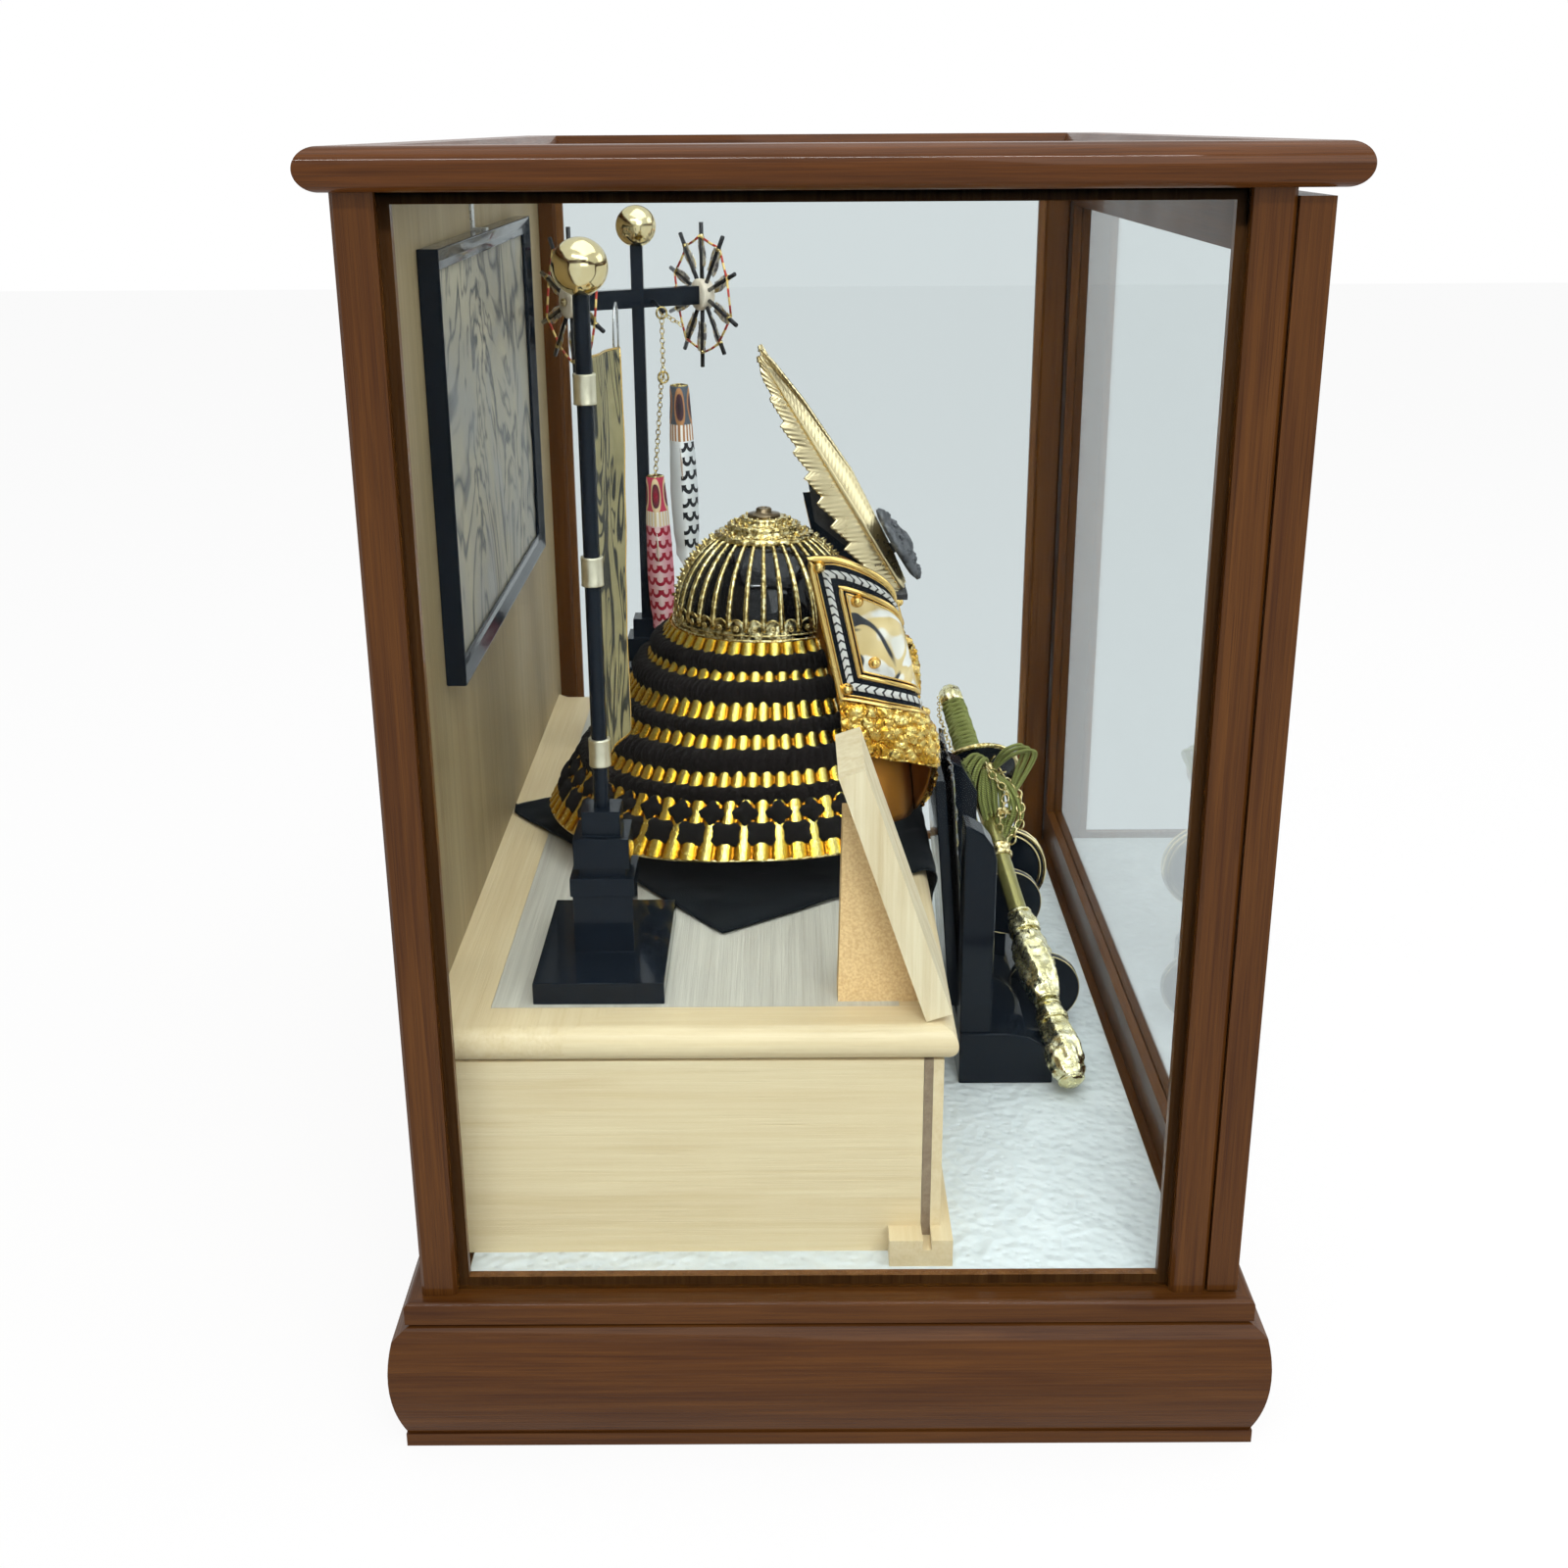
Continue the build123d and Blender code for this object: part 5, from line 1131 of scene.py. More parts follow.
# The linings inside the turned-back plates get a darker copy of the amber gilt: painted shade.
amber_painted_shade = worn(
    "amber_painted_shade", (0.50, 0.22, 0.04), 22.0, (0.25, 0.5), ((0.08, 0.024, 0.004), (0.36, 0.15, 0.022)),
    (0.0005,), rough=0.34
)
inner_walls = make("wing_linings", inner_parts, amber_painted_shade)
thicken(inner_walls, 0.001)
stud = lathe(
    [(2.5, -0.3), (2.5, 0.5), (1.9, 0.7), (2.0, 1.4), (1.5, 2.4), (0.7, 3.0), (0.01, 3.1)], sides=16
)
set_out("wing_studs", stud, frame_gold, "gold_plate", places=stud_places)
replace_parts(plates, "side_wings")

# ---------------------------------------------------------------- crest
# Two pale gilt feathers leaning back from the brow, each with a raised quill and cut barbs, on a
# black card between them, with a cast dark rosette in front. The black visor juts out below it.
FEATHER_LENGTH, FEATHER_HALF = 148.0, 15.5
CREST_LEAN, CREST_Y, CREST_Z = radians(31.0), -45.0, 331.0


def feather_frame(side):
    along = Vector((side * 0.12, sin(CREST_LEAN), cos(CREST_LEAN))).normalized()
    across = Vector((side * 0.42, 0.58, 0))
    across = (across - along * across.dot(along)).normalized()
    return Vector((side * 8.0, CREST_Y, CREST_Z)), along, across, across.cross(along) * side


def feather(side):
    """The blade: cut barbs along its rear edge, a smooth rolled edge in front of the quill."""
    foot, along, across, out = feather_frame(side)
    rear = (0.0, 0.08, 0.15, 0.45, 0.75, 0.92, 1.0), (0.35, 0.85, 1.0, 0.98, 0.62, 0.3, 0.02)
    front = (0.0, 0.12, 0.45, 0.75, 0.92, 1.0), (0.35, 0.55, 0.80, 0.55, 0.26, 0.02)

    def blade(u, v):
        width = float(np.interp(u, *(rear if v > 0.5 else front))) * FEATHER_HALF
        w = 2 * v - 1
        slant = u * 10 - 0.62 * abs(w)
        tooth = slant - math.floor(slant)
        if v > 0.5:
            width *= 0.76 + 0.34 * tooth
        barb = 0.9 * abs(sin(pi * (
            u * 44 - 2.6 * abs(w)
        ))) * min(1.0, 4 * abs(w)) * (1 if v > 0.5 else 0.35)
        edge_roll = 0.9 * max(0.0, -w - 0.75) * 4
        cup = -2.6 * w * w
        droop = -5.0 * max(0.0, u - 0.7) ** 2
        return foot + along * (u * FEATHER_LENGTH) + across * (w * width) + out * (
            cup + barb + edge_roll + droop
        )

    return surface(blade, 300, 26, flip=side > 0)


pale_gilt = worn(
    "feather_gilt", (0.86, 0.72, 0.42), 90.0, (0.24, 0.36), ((0.80, 0.64, 0.34), (0.93, 0.80, 0.52)),
    rough=0.26
)
blades, quills = [], []
for side in (-1, 1):
    foot, along, across, out = feather_frame(side)
    blades.append(feather(side))
    line = [foot + along * FEATHER_LENGTH * (k / 30) + out * 0.6 for k in range(31)]
    quills.append(tube(line, [1.7 - 0.045 * k for k in range(31)], 8))
crest = make("crest_feathers", blades, pale_gilt)
thicken(crest, 0.0011)
make("crest_quills", quills, pale_gilt)
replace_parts(crest, "crest_plate")
cast = Finish("cast_dark_metal", (0.075, 0.08, 0.088), 0.45, 0.6)
pitted = cast.noise(cast.own(), 420.0, 4.0)
cast.set(
    Base_Color=cast.blend(pitted, (0.035, 0.038, 0.044), (0.17, 0.175, 0.185)),
    Roughness=cast.span(pitted, 0.3, 0.7, 0.35, 0.6)
)
cast.bump(pitted, 0.0009, 0.9)
front_way = Vector((0, -cos(CREST_LEAN), sin(CREST_LEAN)))
boss_foot = Vector((0, CREST_Y + 20.0 * sin(CREST_LEAN), CREST_Z + 20.0 * cos(CREST_LEAN)))


def lobes(turn, distance):
    return 1.0 + (0.09 if distance > 8.5 else 0.02) * cos(8 * turn)


rosette = lathe(
    [
        (0.01, 8.0), (18.5, 8.0), (20.5, 9.0), (20.8, 11.0), (18.5, 13.2), (14.5, 12.6), (12.0, 13.8),
        (9.5, 15.2), (6.8, 14.6), (5.8, 16.0), (3.5, 17.2), (0.01, 17.5)
    ],
    boss_foot, front_way, 96, lobes
)
pips = []
across_boss = Vector((1, 0, 0))
up_boss = front_way.cross(across_boss)
for reach, count, size in ((17.3, 16, 0.95), (11.2, 8, 1.1)):
    for k in range(count):
        turn = 2 * pi * (k + 0.5) / count
        spot = boss_foot + front_way * (12.6 if reach > 15 else 13.6) + (
            across_boss * cos(turn) + up_boss * sin(turn)
        ) * reach
        pips.append((spot, facing(front_way), size))
boss = make(
    "crest_rosette", together(rosette, lathe([(3.0, -5.0), (3.0, 8.5)], boss_foot, front_way, 16)), cast,
)
set_out("rosette_pips", grain_shape, cast, "dark_metal", places=pips)
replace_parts(boss, "crest_boss")
card = Finish("black_card", (0.012, 0.012, 0.014), 0.6, Sheen_Weight=0.2)
nap = card.noise(card.own(), 380.0, 4.0)
card.set(Base_Color=card.blend(nap, (0.004, 0.004, 0.005), (0.035, 0.035, 0.04)))
card.bump(nap, 0.0006)
dress(card, "crest_backing")


def peak_skin(u, v):
    turn = radians(-132 + 84 * u)
    reach = 49.6 + 16.5 * v + 1.5 * sin(pi * v)
    return (reach * cos(turn), HELMET.y + reach * sin(turn), 314.0 - 13.0 * v ** 1.4)


visor = make("brow_visor", surface(peak_skin, 48, 12), bowl_gloss)
thicken(visor, 0.0012)
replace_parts(visor, "brow_peak")
make("peak_edging", tube([peak_skin(k / 40, 1.0) for k in range(41)], 1.4, 8), frame_gold)
set_out(
    "peak_studs", stud, frame_gold, "gold_plate",
    places=[(Vector(peak_skin(k / 8, 0.5)), facing((0, -0.4, 1)), 0.8) for k in range(1, 8)]
)
socket = []
for side in (-1, 1):
    foot_at = Vector((side * 7.0, -43.5, 334.0))
    socket.append(tube(
        [
            (side * 4.0, -17.5, 322.0), (side * 5.0, -27.0, 321.0), (side * 6.5, -37.0, 325.0), foot_at,
            foot_at + Vector((0, 6.0, 11.0))
        ],
        2.6, 8, flat=0.4
    ))
make("crest_socket", socket, frame_gold)

# ---------------------------------------------------------------- helmet cloth
# A black velvet square laid cornerwise under the helmet, its front corner hanging over the edge.
CLOTH_HALF, CLOTH_TURN = 110.0, radians(-8.5 - 45.0)
BEND_Y, TOP_Z, FALL_RADIUS, BACK_Y = -54.0, 191.4, 6.0, 176.8


def draped(u, v):
    a, b = (2 * u - 1) * CLOTH_HALF, (2 * v - 1) * CLOTH_HALF
    x = a * cos(CLOTH_TURN) - b * sin(CLOTH_TURN)
    y = a * sin(CLOTH_TURN) + b * cos(CLOTH_TURN) + 27.0
    pucker = 1.3 * ripple(x * 0.025, y * 0.025, 2.0) + 0.5 * ripple(x * 0.09, y * 0.09, 5.0)
    edge = max(abs(a), abs(b)) / CLOTH_HALF
    lift = max(0.0, pucker + 0.4) * (1.2 if edge > 0.55 else 0.35) + 0.9
    if y > BACK_Y:
        return (x, BACK_Y - 0.15 * (y - BACK_Y), TOP_Z + lift + 0.8 * (y - BACK_Y))
    over = BEND_Y - y
    if over <= 0:
        return (x, y, TOP_Z + lift)
    bend = min(over / FALL_RADIUS, pi / 2)
    hang = max(0.0, over - FALL_RADIUS * pi / 2)
    sway = 1.6 * sin(x * 0.07) * min(1.0, hang / 30)
    reach = BEND_Y - (FALL_RADIUS + lift) * sin(bend) + sway
    return (x, reach, TOP_Z - FALL_RADIUS + (FALL_RADIUS + lift) * cos(bend) - hang)


velvet = Finish(
    "black_velvet", (0.004, 0.006, 0.009), 0.9, Sheen_Weight=0.06, Sheen_Roughness=0.4,
    Specular_IOR_Level=0.08
)
pile = velvet.noise(velvet.own(), 1600.0, 2.0)
brushing = velvet.noise(velvet.own(), 28.0, 4.0, 0.7)
velvet.set(Base_Color=velvet.blend(
    velvet.span(brushing, 0.35, 0.65), (0.0015, 0.003, 0.004), (0.006, 0.009, 0.012)
))
velvet.bump(velvet.plus(pile, brushing), 0.0005)
cloth = make("helmet_cloth_velvet", surface(draped, 88, 88), velvet, marked=True)
thicken(cloth, 0.0008, 1.0)
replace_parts(cloth, "helmet_cloth")

# ---------------------------------------------------------------- banner
# A strip of olive-gold brocade with ink-black scrolls, sewn over a cord and held on the pole by
# pale brass bands, with a small wire hook at its top corner.
FLAG_AT, FLAG_TURN = Vector((-180.0, 104.0, 0)), radians(-10.5)
FLAG_WIDE, FLAG_TALL, FLAG_TOP = 48.0, 185.0, 474.0
flag_way = Vector((cos(FLAG_TURN), sin(FLAG_TURN), 0))
flag_out = Vector((sin(FLAG_TURN), -cos(FLAG_TURN), 0))


def banner_point(u, v):
    wave = 1.4 * sin(2.3 * pi * u + 1.2 * v) * u + 0.9 * sin(5.0 * v + 0.8)
    wave += 0.5 * ripple(u * 2.5, v * 7.0, 1.0)
    drop = v * FLAG_TALL * (1 - 0.010 * u) + 0.8 * u
    sway = flag_out * wave * min(1.0, 3 * u)
    return FLAG_AT + flag_way * (4.4 + u * (FLAG_WIDE - 0.6)) + sway + Vector((0, 0, FLAG_TOP - drop))


brocade = Finish("olive_brocade", (0.30, 0.26, 0.12), 0.5, 0.25, Sheen_Weight=0.05, Specular_IOR_Level=0.2)
weft = brocade.scaled(brocade.own("UV"), (1.0, 3.9, 1.0))
scroll = brocade.noise(brocade.scaled(weft, (1.5, 0.40, 1.0)), 1.2, 1.5, 2.2)
threads = brocade.noise(brocade.scaled(brocade.own("UV"), (60.0, 900.0, 1.0)), 1.0, 2.0)
# Large patches of painted sheen lighten and darken the brocade's ground colour.
painted_sheen = brocade.noise(weft, 3.2, 3.0, 1.0)
inked = brocade.ramp(
    scroll,
    [
        (0.40, 0.0), (0.42, 1.0), (0.47, 1.0), (0.485, 0.0), (0.545, 0.0), (0.56, 1.0), (0.575, 1.0),
        (0.59, 0.0)
    ]
)
ground = brocade.blend(painted_sheen, (0.14, 0.12, 0.045), (0.46, 0.40, 0.20))
brocade.set(Base_Color=brocade.blend(
    inked, brocade.blend(brocade.times(threads, 0.5), ground, (0.42, 0.37, 0.20)), (0.014, 0.016, 0.014)
))
brocade.bump(threads, 0.0005)
banner = make("banner_brocade", surface(banner_point, 24, 90), brocade, marked=True)
thicken(banner, 0.0005, 0.0)
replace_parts(banner, "flag_cloth")
hems = [tube([banner_point(u, k / 40) for k in range(41)], 0.65, 6) for u in (0.0, 1.0)]
hems += [tube([banner_point(k / 12, v) for k in range(13)], 0.6, 6) for v in (0.0, 1.0)]
hook_foot = banner_point(0.98, 0.0)
hook = [
    hook_foot + flag_way * dx + Vector((0, 0, dz))
    for dx, dz in ((0, -1), (0.4, 8), (0, 17), (-2.5, 20), (-5.5, 17), (-7, 8), (-7.5, 1))
]
make("banner_hems", hems, frame_gold)
make("banner_hook", tube(hook, 0.55, 6), steel)
collars = [
    lathe(
        [
            (3.7, 0.0), (5.0, 0.0), (5.1, 0.6), (4.95, 1.2), (4.95, 11.8), (5.1, 12.4), (5.0, 13.0),
            (3.7, 13.0)
        ],
        FLAG_AT + Vector((0, 0, z)), (0, 0, 1), 32
    )
    for z in (290, 375, 455)
]
pale_brass = worn(
    "pale_brass_foil", (0.80, 0.74, 0.56), 240.0, (0.3, 0.5), ((0.66, 0.60, 0.42), (0.92, 0.87, 0.70)),
    (0.0003,), rough=0.38
)
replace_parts(make("pole_bands", collars, pale_brass), "flag_bands")

# ---------------------------------------------------------------- wind wheels
# Turned pale hubs with ten black arrow shafts, gilt and grey paper vanes, and a red-gold thread
# passed round them. Each wheel spins on a brass pin in the end of the cross arm.
ARM_TURN, ARM_AT, HUB_FOOT = radians(-58.5), Vector((170.0, 107.0, 469.0)), 40.8
hub_wood = wood("hub_wood", (0.80, 0.73, 0.60), (0.60, 0.50, 0.37), "z", 30, 160, 0.3, (0.5, 0.65))
shaft_black = lacquer("shaft_black", (0.012, 0.012, 0.014), 0.6, (0.25, 0.4))
vane_paper = Finish("gilt_vane_paper", (0.55, 0.50, 0.40), 0.4, 0.5)
flake = vane_paper.noise(vane_paper.own(), 210.0, 3.0)
vane_paper.set(
    Base_Color=vane_paper.ramp(
        flake,
        [
            (0.40, (0.16, 0.15, 0.15)), (0.48, (0.50, 0.47, 0.43)), (0.54, (0.82, 0.76, 0.62)),
            (0.62, (0.70, 0.52, 0.20))
        ]
    ),
    Metallic=vane_paper.span(flake, 0.5, 0.56, 0.1, 0.9),
)
vane_paper.bump(flake, 0.0003)
thread = Finish("red_gold_thread", (0.62, 0.22, 0.08), 0.45, 0.4)
ply = thread.maths("FRACT", thread.times(thread.split(thread.own("UV"))[1], 0.10))
thread.set(Base_Color=thread.blend(
    thread.maths("GREATER_THAN", ply, 0.5), (0.80, 0.58, 0.20), (0.50, 0.05, 0.03)
))
thread.bump(thread.noise(thread.own(), 2500.0), 0.0002)
for wheel, end in (("front", 1), ("back", -1)):
    axle = Vector((cos(ARM_TURN) * end, sin(ARM_TURN) * end, 0))
    sideways, hub_at = axle.cross(Vector((0, 0, 1))), ARM_AT + axle * HUB_FOOT
    middle = hub_at + axle * 4.0

    def on_wheel(turn, reach, out=0.0):
        return middle + (sideways * sin(turn) + Vector((0, 0, cos(turn)))) * reach + axle * out

    hub = lathe(
        [
            (1.5, 0.05), (8.8, 0.05), (9.5, 0.8), (9.6, 3.0), (9.2, 5.0), (9.5, 7.2), (8.9, 7.95),
            (4.6, 7.95), (3.0, 7.5), (1.5, 7.5), (1.5, 0.05)
        ],
        hub_at, axle, 40
    )
    piece = make(wheel + "_wheel_hub", hub, hub_wood, wheel + "_wheel")
    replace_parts(piece, wheel + "_wind_wheel")
    shafts, vanes, ties, cord = [], [], [], []
    for k in range(10):
        turn = 2 * pi * k / 10 + 0.04 * sin(9.0 * k)
        reach = 44.4 if k % 2 else 43.0
        shafts.append(tube([on_wheel(turn, 5), on_wheel(turn, 20), on_wheel(turn, reach)], 1.35, 8))
        ties.append(tube([on_wheel(turn, 34.0), on_wheel(turn, 36.0)], 1.6, 8))
        for flank, wide in ((1, 4.6), (-1, 3.2)):
            lean = 0.9 * flank * sin(2.1 * k)

            def vane(u, v, turn=turn, flank=flank, wide=wide, lean=lean):
                reach = 17 + 18 * v
                notch = 0.5 * abs(sin(9 * pi * v))
                spread = u * (wide - notch) * (1.0 - 0.25 * abs(2 * v - 1)) + 0.6
                return on_wheel(turn + flank * spread / reach, reach, lean * u + 0.5 * sin(6 * v) * u)

            vanes.append(surface(vane, 3, 18))
    for k in range(10):
        turn, after = 2 * pi * k / 10, 2 * pi * (k + 1) / 10
        start, stop = on_wheel(turn, 35.0, 1.2 if k % 2 else -1.2), on_wheel(
            after, 35.0, -1.2 if k % 2 else 1.2
        )
        cord.append(tube([start, start.lerp(stop, 0.5) - Vector((0, 0, 0.5)), stop], 0.75, 6))
    make(wheel + "_wheel_shafts", shafts, shaft_black, wheel + "_wheel")
    blades = make(wheel + "_wheel_vanes", vanes, vane_paper, wheel + "_wheel")
    thicken(blades, 0.0003, 0.0)
    make(wheel + "_wheel_ties", ties, gold, wheel + "_wheel")
    make(wheel + "_wheel_thread", cord, thread, wheel + "_wheel", marked=True)

# ---------------------------------------------------------------- carp streamers
# Two flattened cloth carp on a gilt link chain: slate head with a ringed eye, striped gill, and a
# white body with black scales; and below it the same fish in red and pink.
HANG = Vector((150.0, 91.6, 0))
GILL_START, GILL_STRIPES, BODY_START = 0.21, 0.25, 0.30


def carp(name, x, y, top, length, head, back, belly, scale_dark, stripe, shown):
    """One carp hung by its mouth; its finish follows the length and the turn of its skin."""
    stations = (0.0, 0.02, 0.18, 0.35, 0.6, 0.82, 0.9, 1.0)
    widths, depths = (5.2, 6.2, 7.4, 8.0, 8.0, 6.8, 6.0, 8.0), (4.8, 5.3, 6.3, 7.2, 8.0, 7.4, 6.2, 6.6)

    def skin(u, v):
        wide, deep = float(np.interp(v, stations, widths)), float(np.interp(v, stations, depths))
        turn = 2 * pi * u
        c, s = cos(turn), sin(turn)
        square = (abs(c) ** 1.35 + abs(s) ** 1.35) ** (-1 / 1.35)
        fold = 0.35 * ripple(u * 6, v * 9, x)
        fork = 6.0 * max(0.0, v - 0.93) / 0.07 * (1 - abs(c) ** 2)
        return (
            x + wide * square * c * (1 + 0.02 * fold), y - 3.0 * v + deep * square * s + fold,
            top - length * v + fork
        )
    finish = Finish(name + "_cloth", belly, 0.55, Sheen_Weight=0.05, Specular_IOR_Level=0.25)
    u, v = finish.split(finish.own("UV"))[0:2]
    cell_v = finish.times(v, 13.0)
    row = finish.maths("FLOOR", cell_v)
    cell_u = finish.plus(finish.times(u, 7.0), finish.times(finish.maths("MODULO", row, 2.0), 0.5))
    du = finish.minus(finish.maths("FRACT", cell_u), 0.5)
    dv = finish.minus(finish.maths("FRACT", cell_v), 0.12)
    reach = finish.far(du, dv)
    crescent = finish.times(
        finish.maths("GREATER_THAN", reach, 0.27), finish.maths("LESS_THAN", reach, 0.56)
    )
    on_back = finish.maths("LESS_THAN", finish.bare(finish.minus(u, 0.72)), shown)
    crescent = finish.times(crescent, on_back)
    scaled = finish.blend(
        crescent, finish.blend(finish.bare(finish.maths("SINE", finish.times(u, 2 * pi))), belly, back),
        scale_dark
    )
    eye_u = finish.times(
        finish.minus(finish.maths("FRACT", finish.plus(finish.times(u, 4.0), 0.5)), 0.5), 1.75
    )
    eye_v = finish.times(finish.minus(v, 0.115), 6.6)
    face = finish.ramp(
        finish.far(eye_u, eye_v),
        [
            (0.0, scale_dark), (0.46, (0.08, 0.03, 0.04)), (0.50, stripe), (0.66, stripe), (0.70, head),
            (1.0, head)
        ]
    )
    bars = finish.maths("GREATER_THAN", finish.maths("FRACT", finish.times(u, 16.0)), 0.45)
    gill = finish.blend(bars, (0.86, 0.83, 0.78), stripe)
    skin_colour = finish.blend(finish.maths("GREATER_THAN", v, GILL_START), face, gill)
    finish.set(Base_Color=finish.blend(finish.maths("GREATER_THAN", v, BODY_START), skin_colour, scaled))
    finish.bump(finish.noise(finish.scaled(finish.own("UV"), (150.0, 260.0, 1.0)), 1.0), 0.0004)
    piece = make(name, surface(skin, 48, 72), finish, marked=True)
    fins = []
    for flank in (-1, 1):
        def fin(u, v, flank=flank):
            root = Vector((x + flank * 6.4, y, top - length * (0.30 + 0.10 * u)))
            return root + Vector((flank * 5.0 * v, -1.5 * v, -11.0 * v + 2.0 * sin(pi * u) * v))
        points, faces, marks = surface(fin, 6, 6)
        fins.append((points, faces, [(mark[0], GILL_STRIPES) for mark in marks]))
    fin_piece = make(name + "_fins", fins, finish, marked=True)
    for cloth_piece in (piece, fin_piece):
        thicken(cloth_piece, 0.0005, -1.0 if cloth_piece is piece else 0.0)
    make(
        name + "_mouth", tube([skin(k / 24, 0.004) for k in range(24)], 0.7, 6, closed=True), gold
    )
    return piece


black_carp = carp(
    "black_carp", 150.0, 82.2, 419.5, 111.0, (0.075, 0.092, 0.115), (0.60, 0.62, 0.63), (0.86, 0.87, 0.87),
    (0.010, 0.011, 0.014), (0.42, 0.20, 0.08), 0.24
)
carp(
    "red_carp", 160.0, 99.0, 362.5, 103.0, (0.62, 0.05, 0.11), (0.72, 0.25, 0.32), (0.84, 0.62, 0.62),
    (0.36, 0.008, 0.03), (0.80, 0.62, 0.36), 0.5
)
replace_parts(black_carp, "carp_streamers")
link = [(1.9 * cos(a), 0, 2.5 * sin(a)) for a in turns(14)]
link_shape = tube(link, 0.45, 6, closed=True)


def links(line, pitch=3.5, size=0.72):
    """Places for chain links that follow a line of points, each turned a quarter from the last."""
    places, spare, count = [], 0.0, 0
    for start, stop in zip(line, line[1:]):
        way, run = (stop - start).normalized(), (stop - start).length
        while spare < run:
            upright = facing(way.cross(Vector((0.3, 1, 0.2))), way)
            spin = Matrix.Rotation(pi / 2 * (count % 2), 3, way)
            frame_turn = spin @ Matrix((upright.col[0], -upright.col[2], upright.col[1])).transposed()
            places.append((start + way * spare, frame_turn, size))
            spare += pitch * size * 1.15
            count += 1
        spare -= run
    return places


peg_end = HANG + Vector((0, 0, 464.0))
drop = [peg_end + Vector((0, 0, -1.0)), HANG + Vector((0, 0, 421.0))]
lower = [HANG + Vector((0, 1, 424.0)), HANG + Vector((5.0, 4.0, 395.0)), Vector((160.0, 99.0, 362.0))]
tail = [
    peg_end + Vector((0, 0, -1)), peg_end + Vector((2.0, -6.0, -6.0)), peg_end + Vector((4.0, -12.0, -9.5))
]
set_out("streamer_links", link_shape, gold, "brass", places=links(drop) + links(lower) + links(tail))
ring_places = [(HANG + Vector((0, 0, z)), facing((1, 0.2, 0)), 1.35) for z in (424.0, 462.0)]
set_out(
    "streamer_rings", tube([(c[0] * 1.2, c[2], 0) for c in link], 0.5, 6, closed=True), gold, "brass",
    places=ring_places
)
arm_side = ARM_AT + Vector(
    (cos(ARM_TURN) * 8 - sin(ARM_TURN) * -4, sin(ARM_TURN) * 8 - cos(ARM_TURN) * 4, -2)
)
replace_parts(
    make(
        "streamer_peg",
        tube([arm_side, peg_end, peg_end + (peg_end - arm_side).normalized() * 5], 1.25, 10), shaft_black,
    ),
    "streamer_chain"
)

# ---------------------------------------------------------------- sword
# A scabbard with two cast gilt fittings, a gilt-rimmed black guard, and an olive cord-wrapped hilt;
# a knotted olive cord and a gilt chain are tied at the scabbard's mouth.
TIP, POMMEL = Vector((-112.0, -134.3, 84.5)), Vector((129.8, -84.2, 232.5))
blade_way = (POMMEL - TIP).normalized()
JOINT, SLEEVE = 0.75 * (POMMEL - TIP).length, 5.9
side_way = blade_way.cross(Vector((0, 0, 1))).normalized()
over_way = side_way.cross(blade_way)


def by_sword(run, turn, reach):
    return TIP + blade_way * run + (side_way * cos(turn) + over_way * sin(turn)) * reach


def turned(profile, sides=32, wobble=None):
    """A turned shape along the sword."""
    return lathe(profile, TIP, blade_way, sides, wobble)


def hoop(run, reach, stout, corners=32, sides=6):
    """A wire ring round the sword."""
    return tube([by_sword(run, a, reach) for a in turns(corners)], stout, sides, closed=True)


olive_gilt = worn(
    "olive_scabbard", (0.30, 0.27, 0.09), 14.0, (0.14, 0.24), ((0.22, 0.20, 0.055), (0.36, 0.32, 0.10)),
    rough=0.22, metal=0.7, Coat_Weight=0.6, Coat_Roughness=0.06
)
cast_gilt = nugget("cast_pale_gilt", (1.0, 0.95, 0.68), (0.78, 0.70, 0.38), 210.0, 0.0005)
body = make(
    "scabbard_body",
    turned(
        [
            (4.0, 0.4), (5.4, 1.0), (5.6, 40), (5.4, 60), (5.2, 110), (5.2, 156), (6.0, JOINT - 0.3),
            (4.0, JOINT - 0.2)
        ]
    ),
    olive_gilt
)
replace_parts(body, "sword_scabbard")


def fitting(start, length, stout):
    """A cast sleeve: a swollen, fluted profile with beaded lips."""
    profile = []
    for k in range(31):
        share = k / 30
        swell = sin(pi * min(1.0, share * 1.25)) ** 0.6
        if share >= 0.8:
            swell = cos((share - 0.8) / 0.2 * pi / 2) * 0.62
        profile.append((SLEEVE + (stout - SLEEVE) * swell, start + length * share))

    def relief(turn, distance):
        lobe = 0.055 * cos(6 * turn + 0.16 * distance) + 0.05 * cos(0.9 * distance) * cos(2 * turn)
        return 1.0 + lobe + 0.05 * ripple(3 * cos(turn), 3 * sin(turn), distance * 0.35)
    shapes = [turned(profile, 64, relief)]
    for run in (start + 0.6, start + length * 0.78, start + length - 0.4):
        reach = float(np.interp(run, [p[1] for p in profile], [p[0] for p in profile])) + 0.3
        shapes.append(hoop(run, reach, 0.8))
    return together(*shapes)


tip_cap = turned([(0.01, -1.2), (3.5, -1.0), (6.0, 0.6), (7.0, 2.5)])
make("scabbard_fittings", [fitting(1.5, 48, 10.2), fitting(52, 60, 10.8), tip_cap], cast_gilt)
collar = turned(
    [(5.3, 152), (6.6, 152.4), (7.0, 154), (6.2, 155.5), (6.6, 157.5), (7.2, 159), (6.4, 160.6), (5.3, 161)]
)
make("scabbard_collar", collar, gold)
guard_black = turned(
    [(5.0, JOINT + 0.2), (25.6, JOINT + 0.2), (26.0, JOINT + 1.2), (25.6, JOINT + 2.3), (5.0, JOINT + 2.3)],
    64
)
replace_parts(make("guard_disc", guard_black, black_gloss), "sword_guard")
guard_rim = [hoop(JOINT + 1.25, 26.0, 1.5, 64, 8)]
for reach in (9.5, 12.5):
    guard_rim.append(hoop(JOINT + 0.2, reach, 0.8, 40))
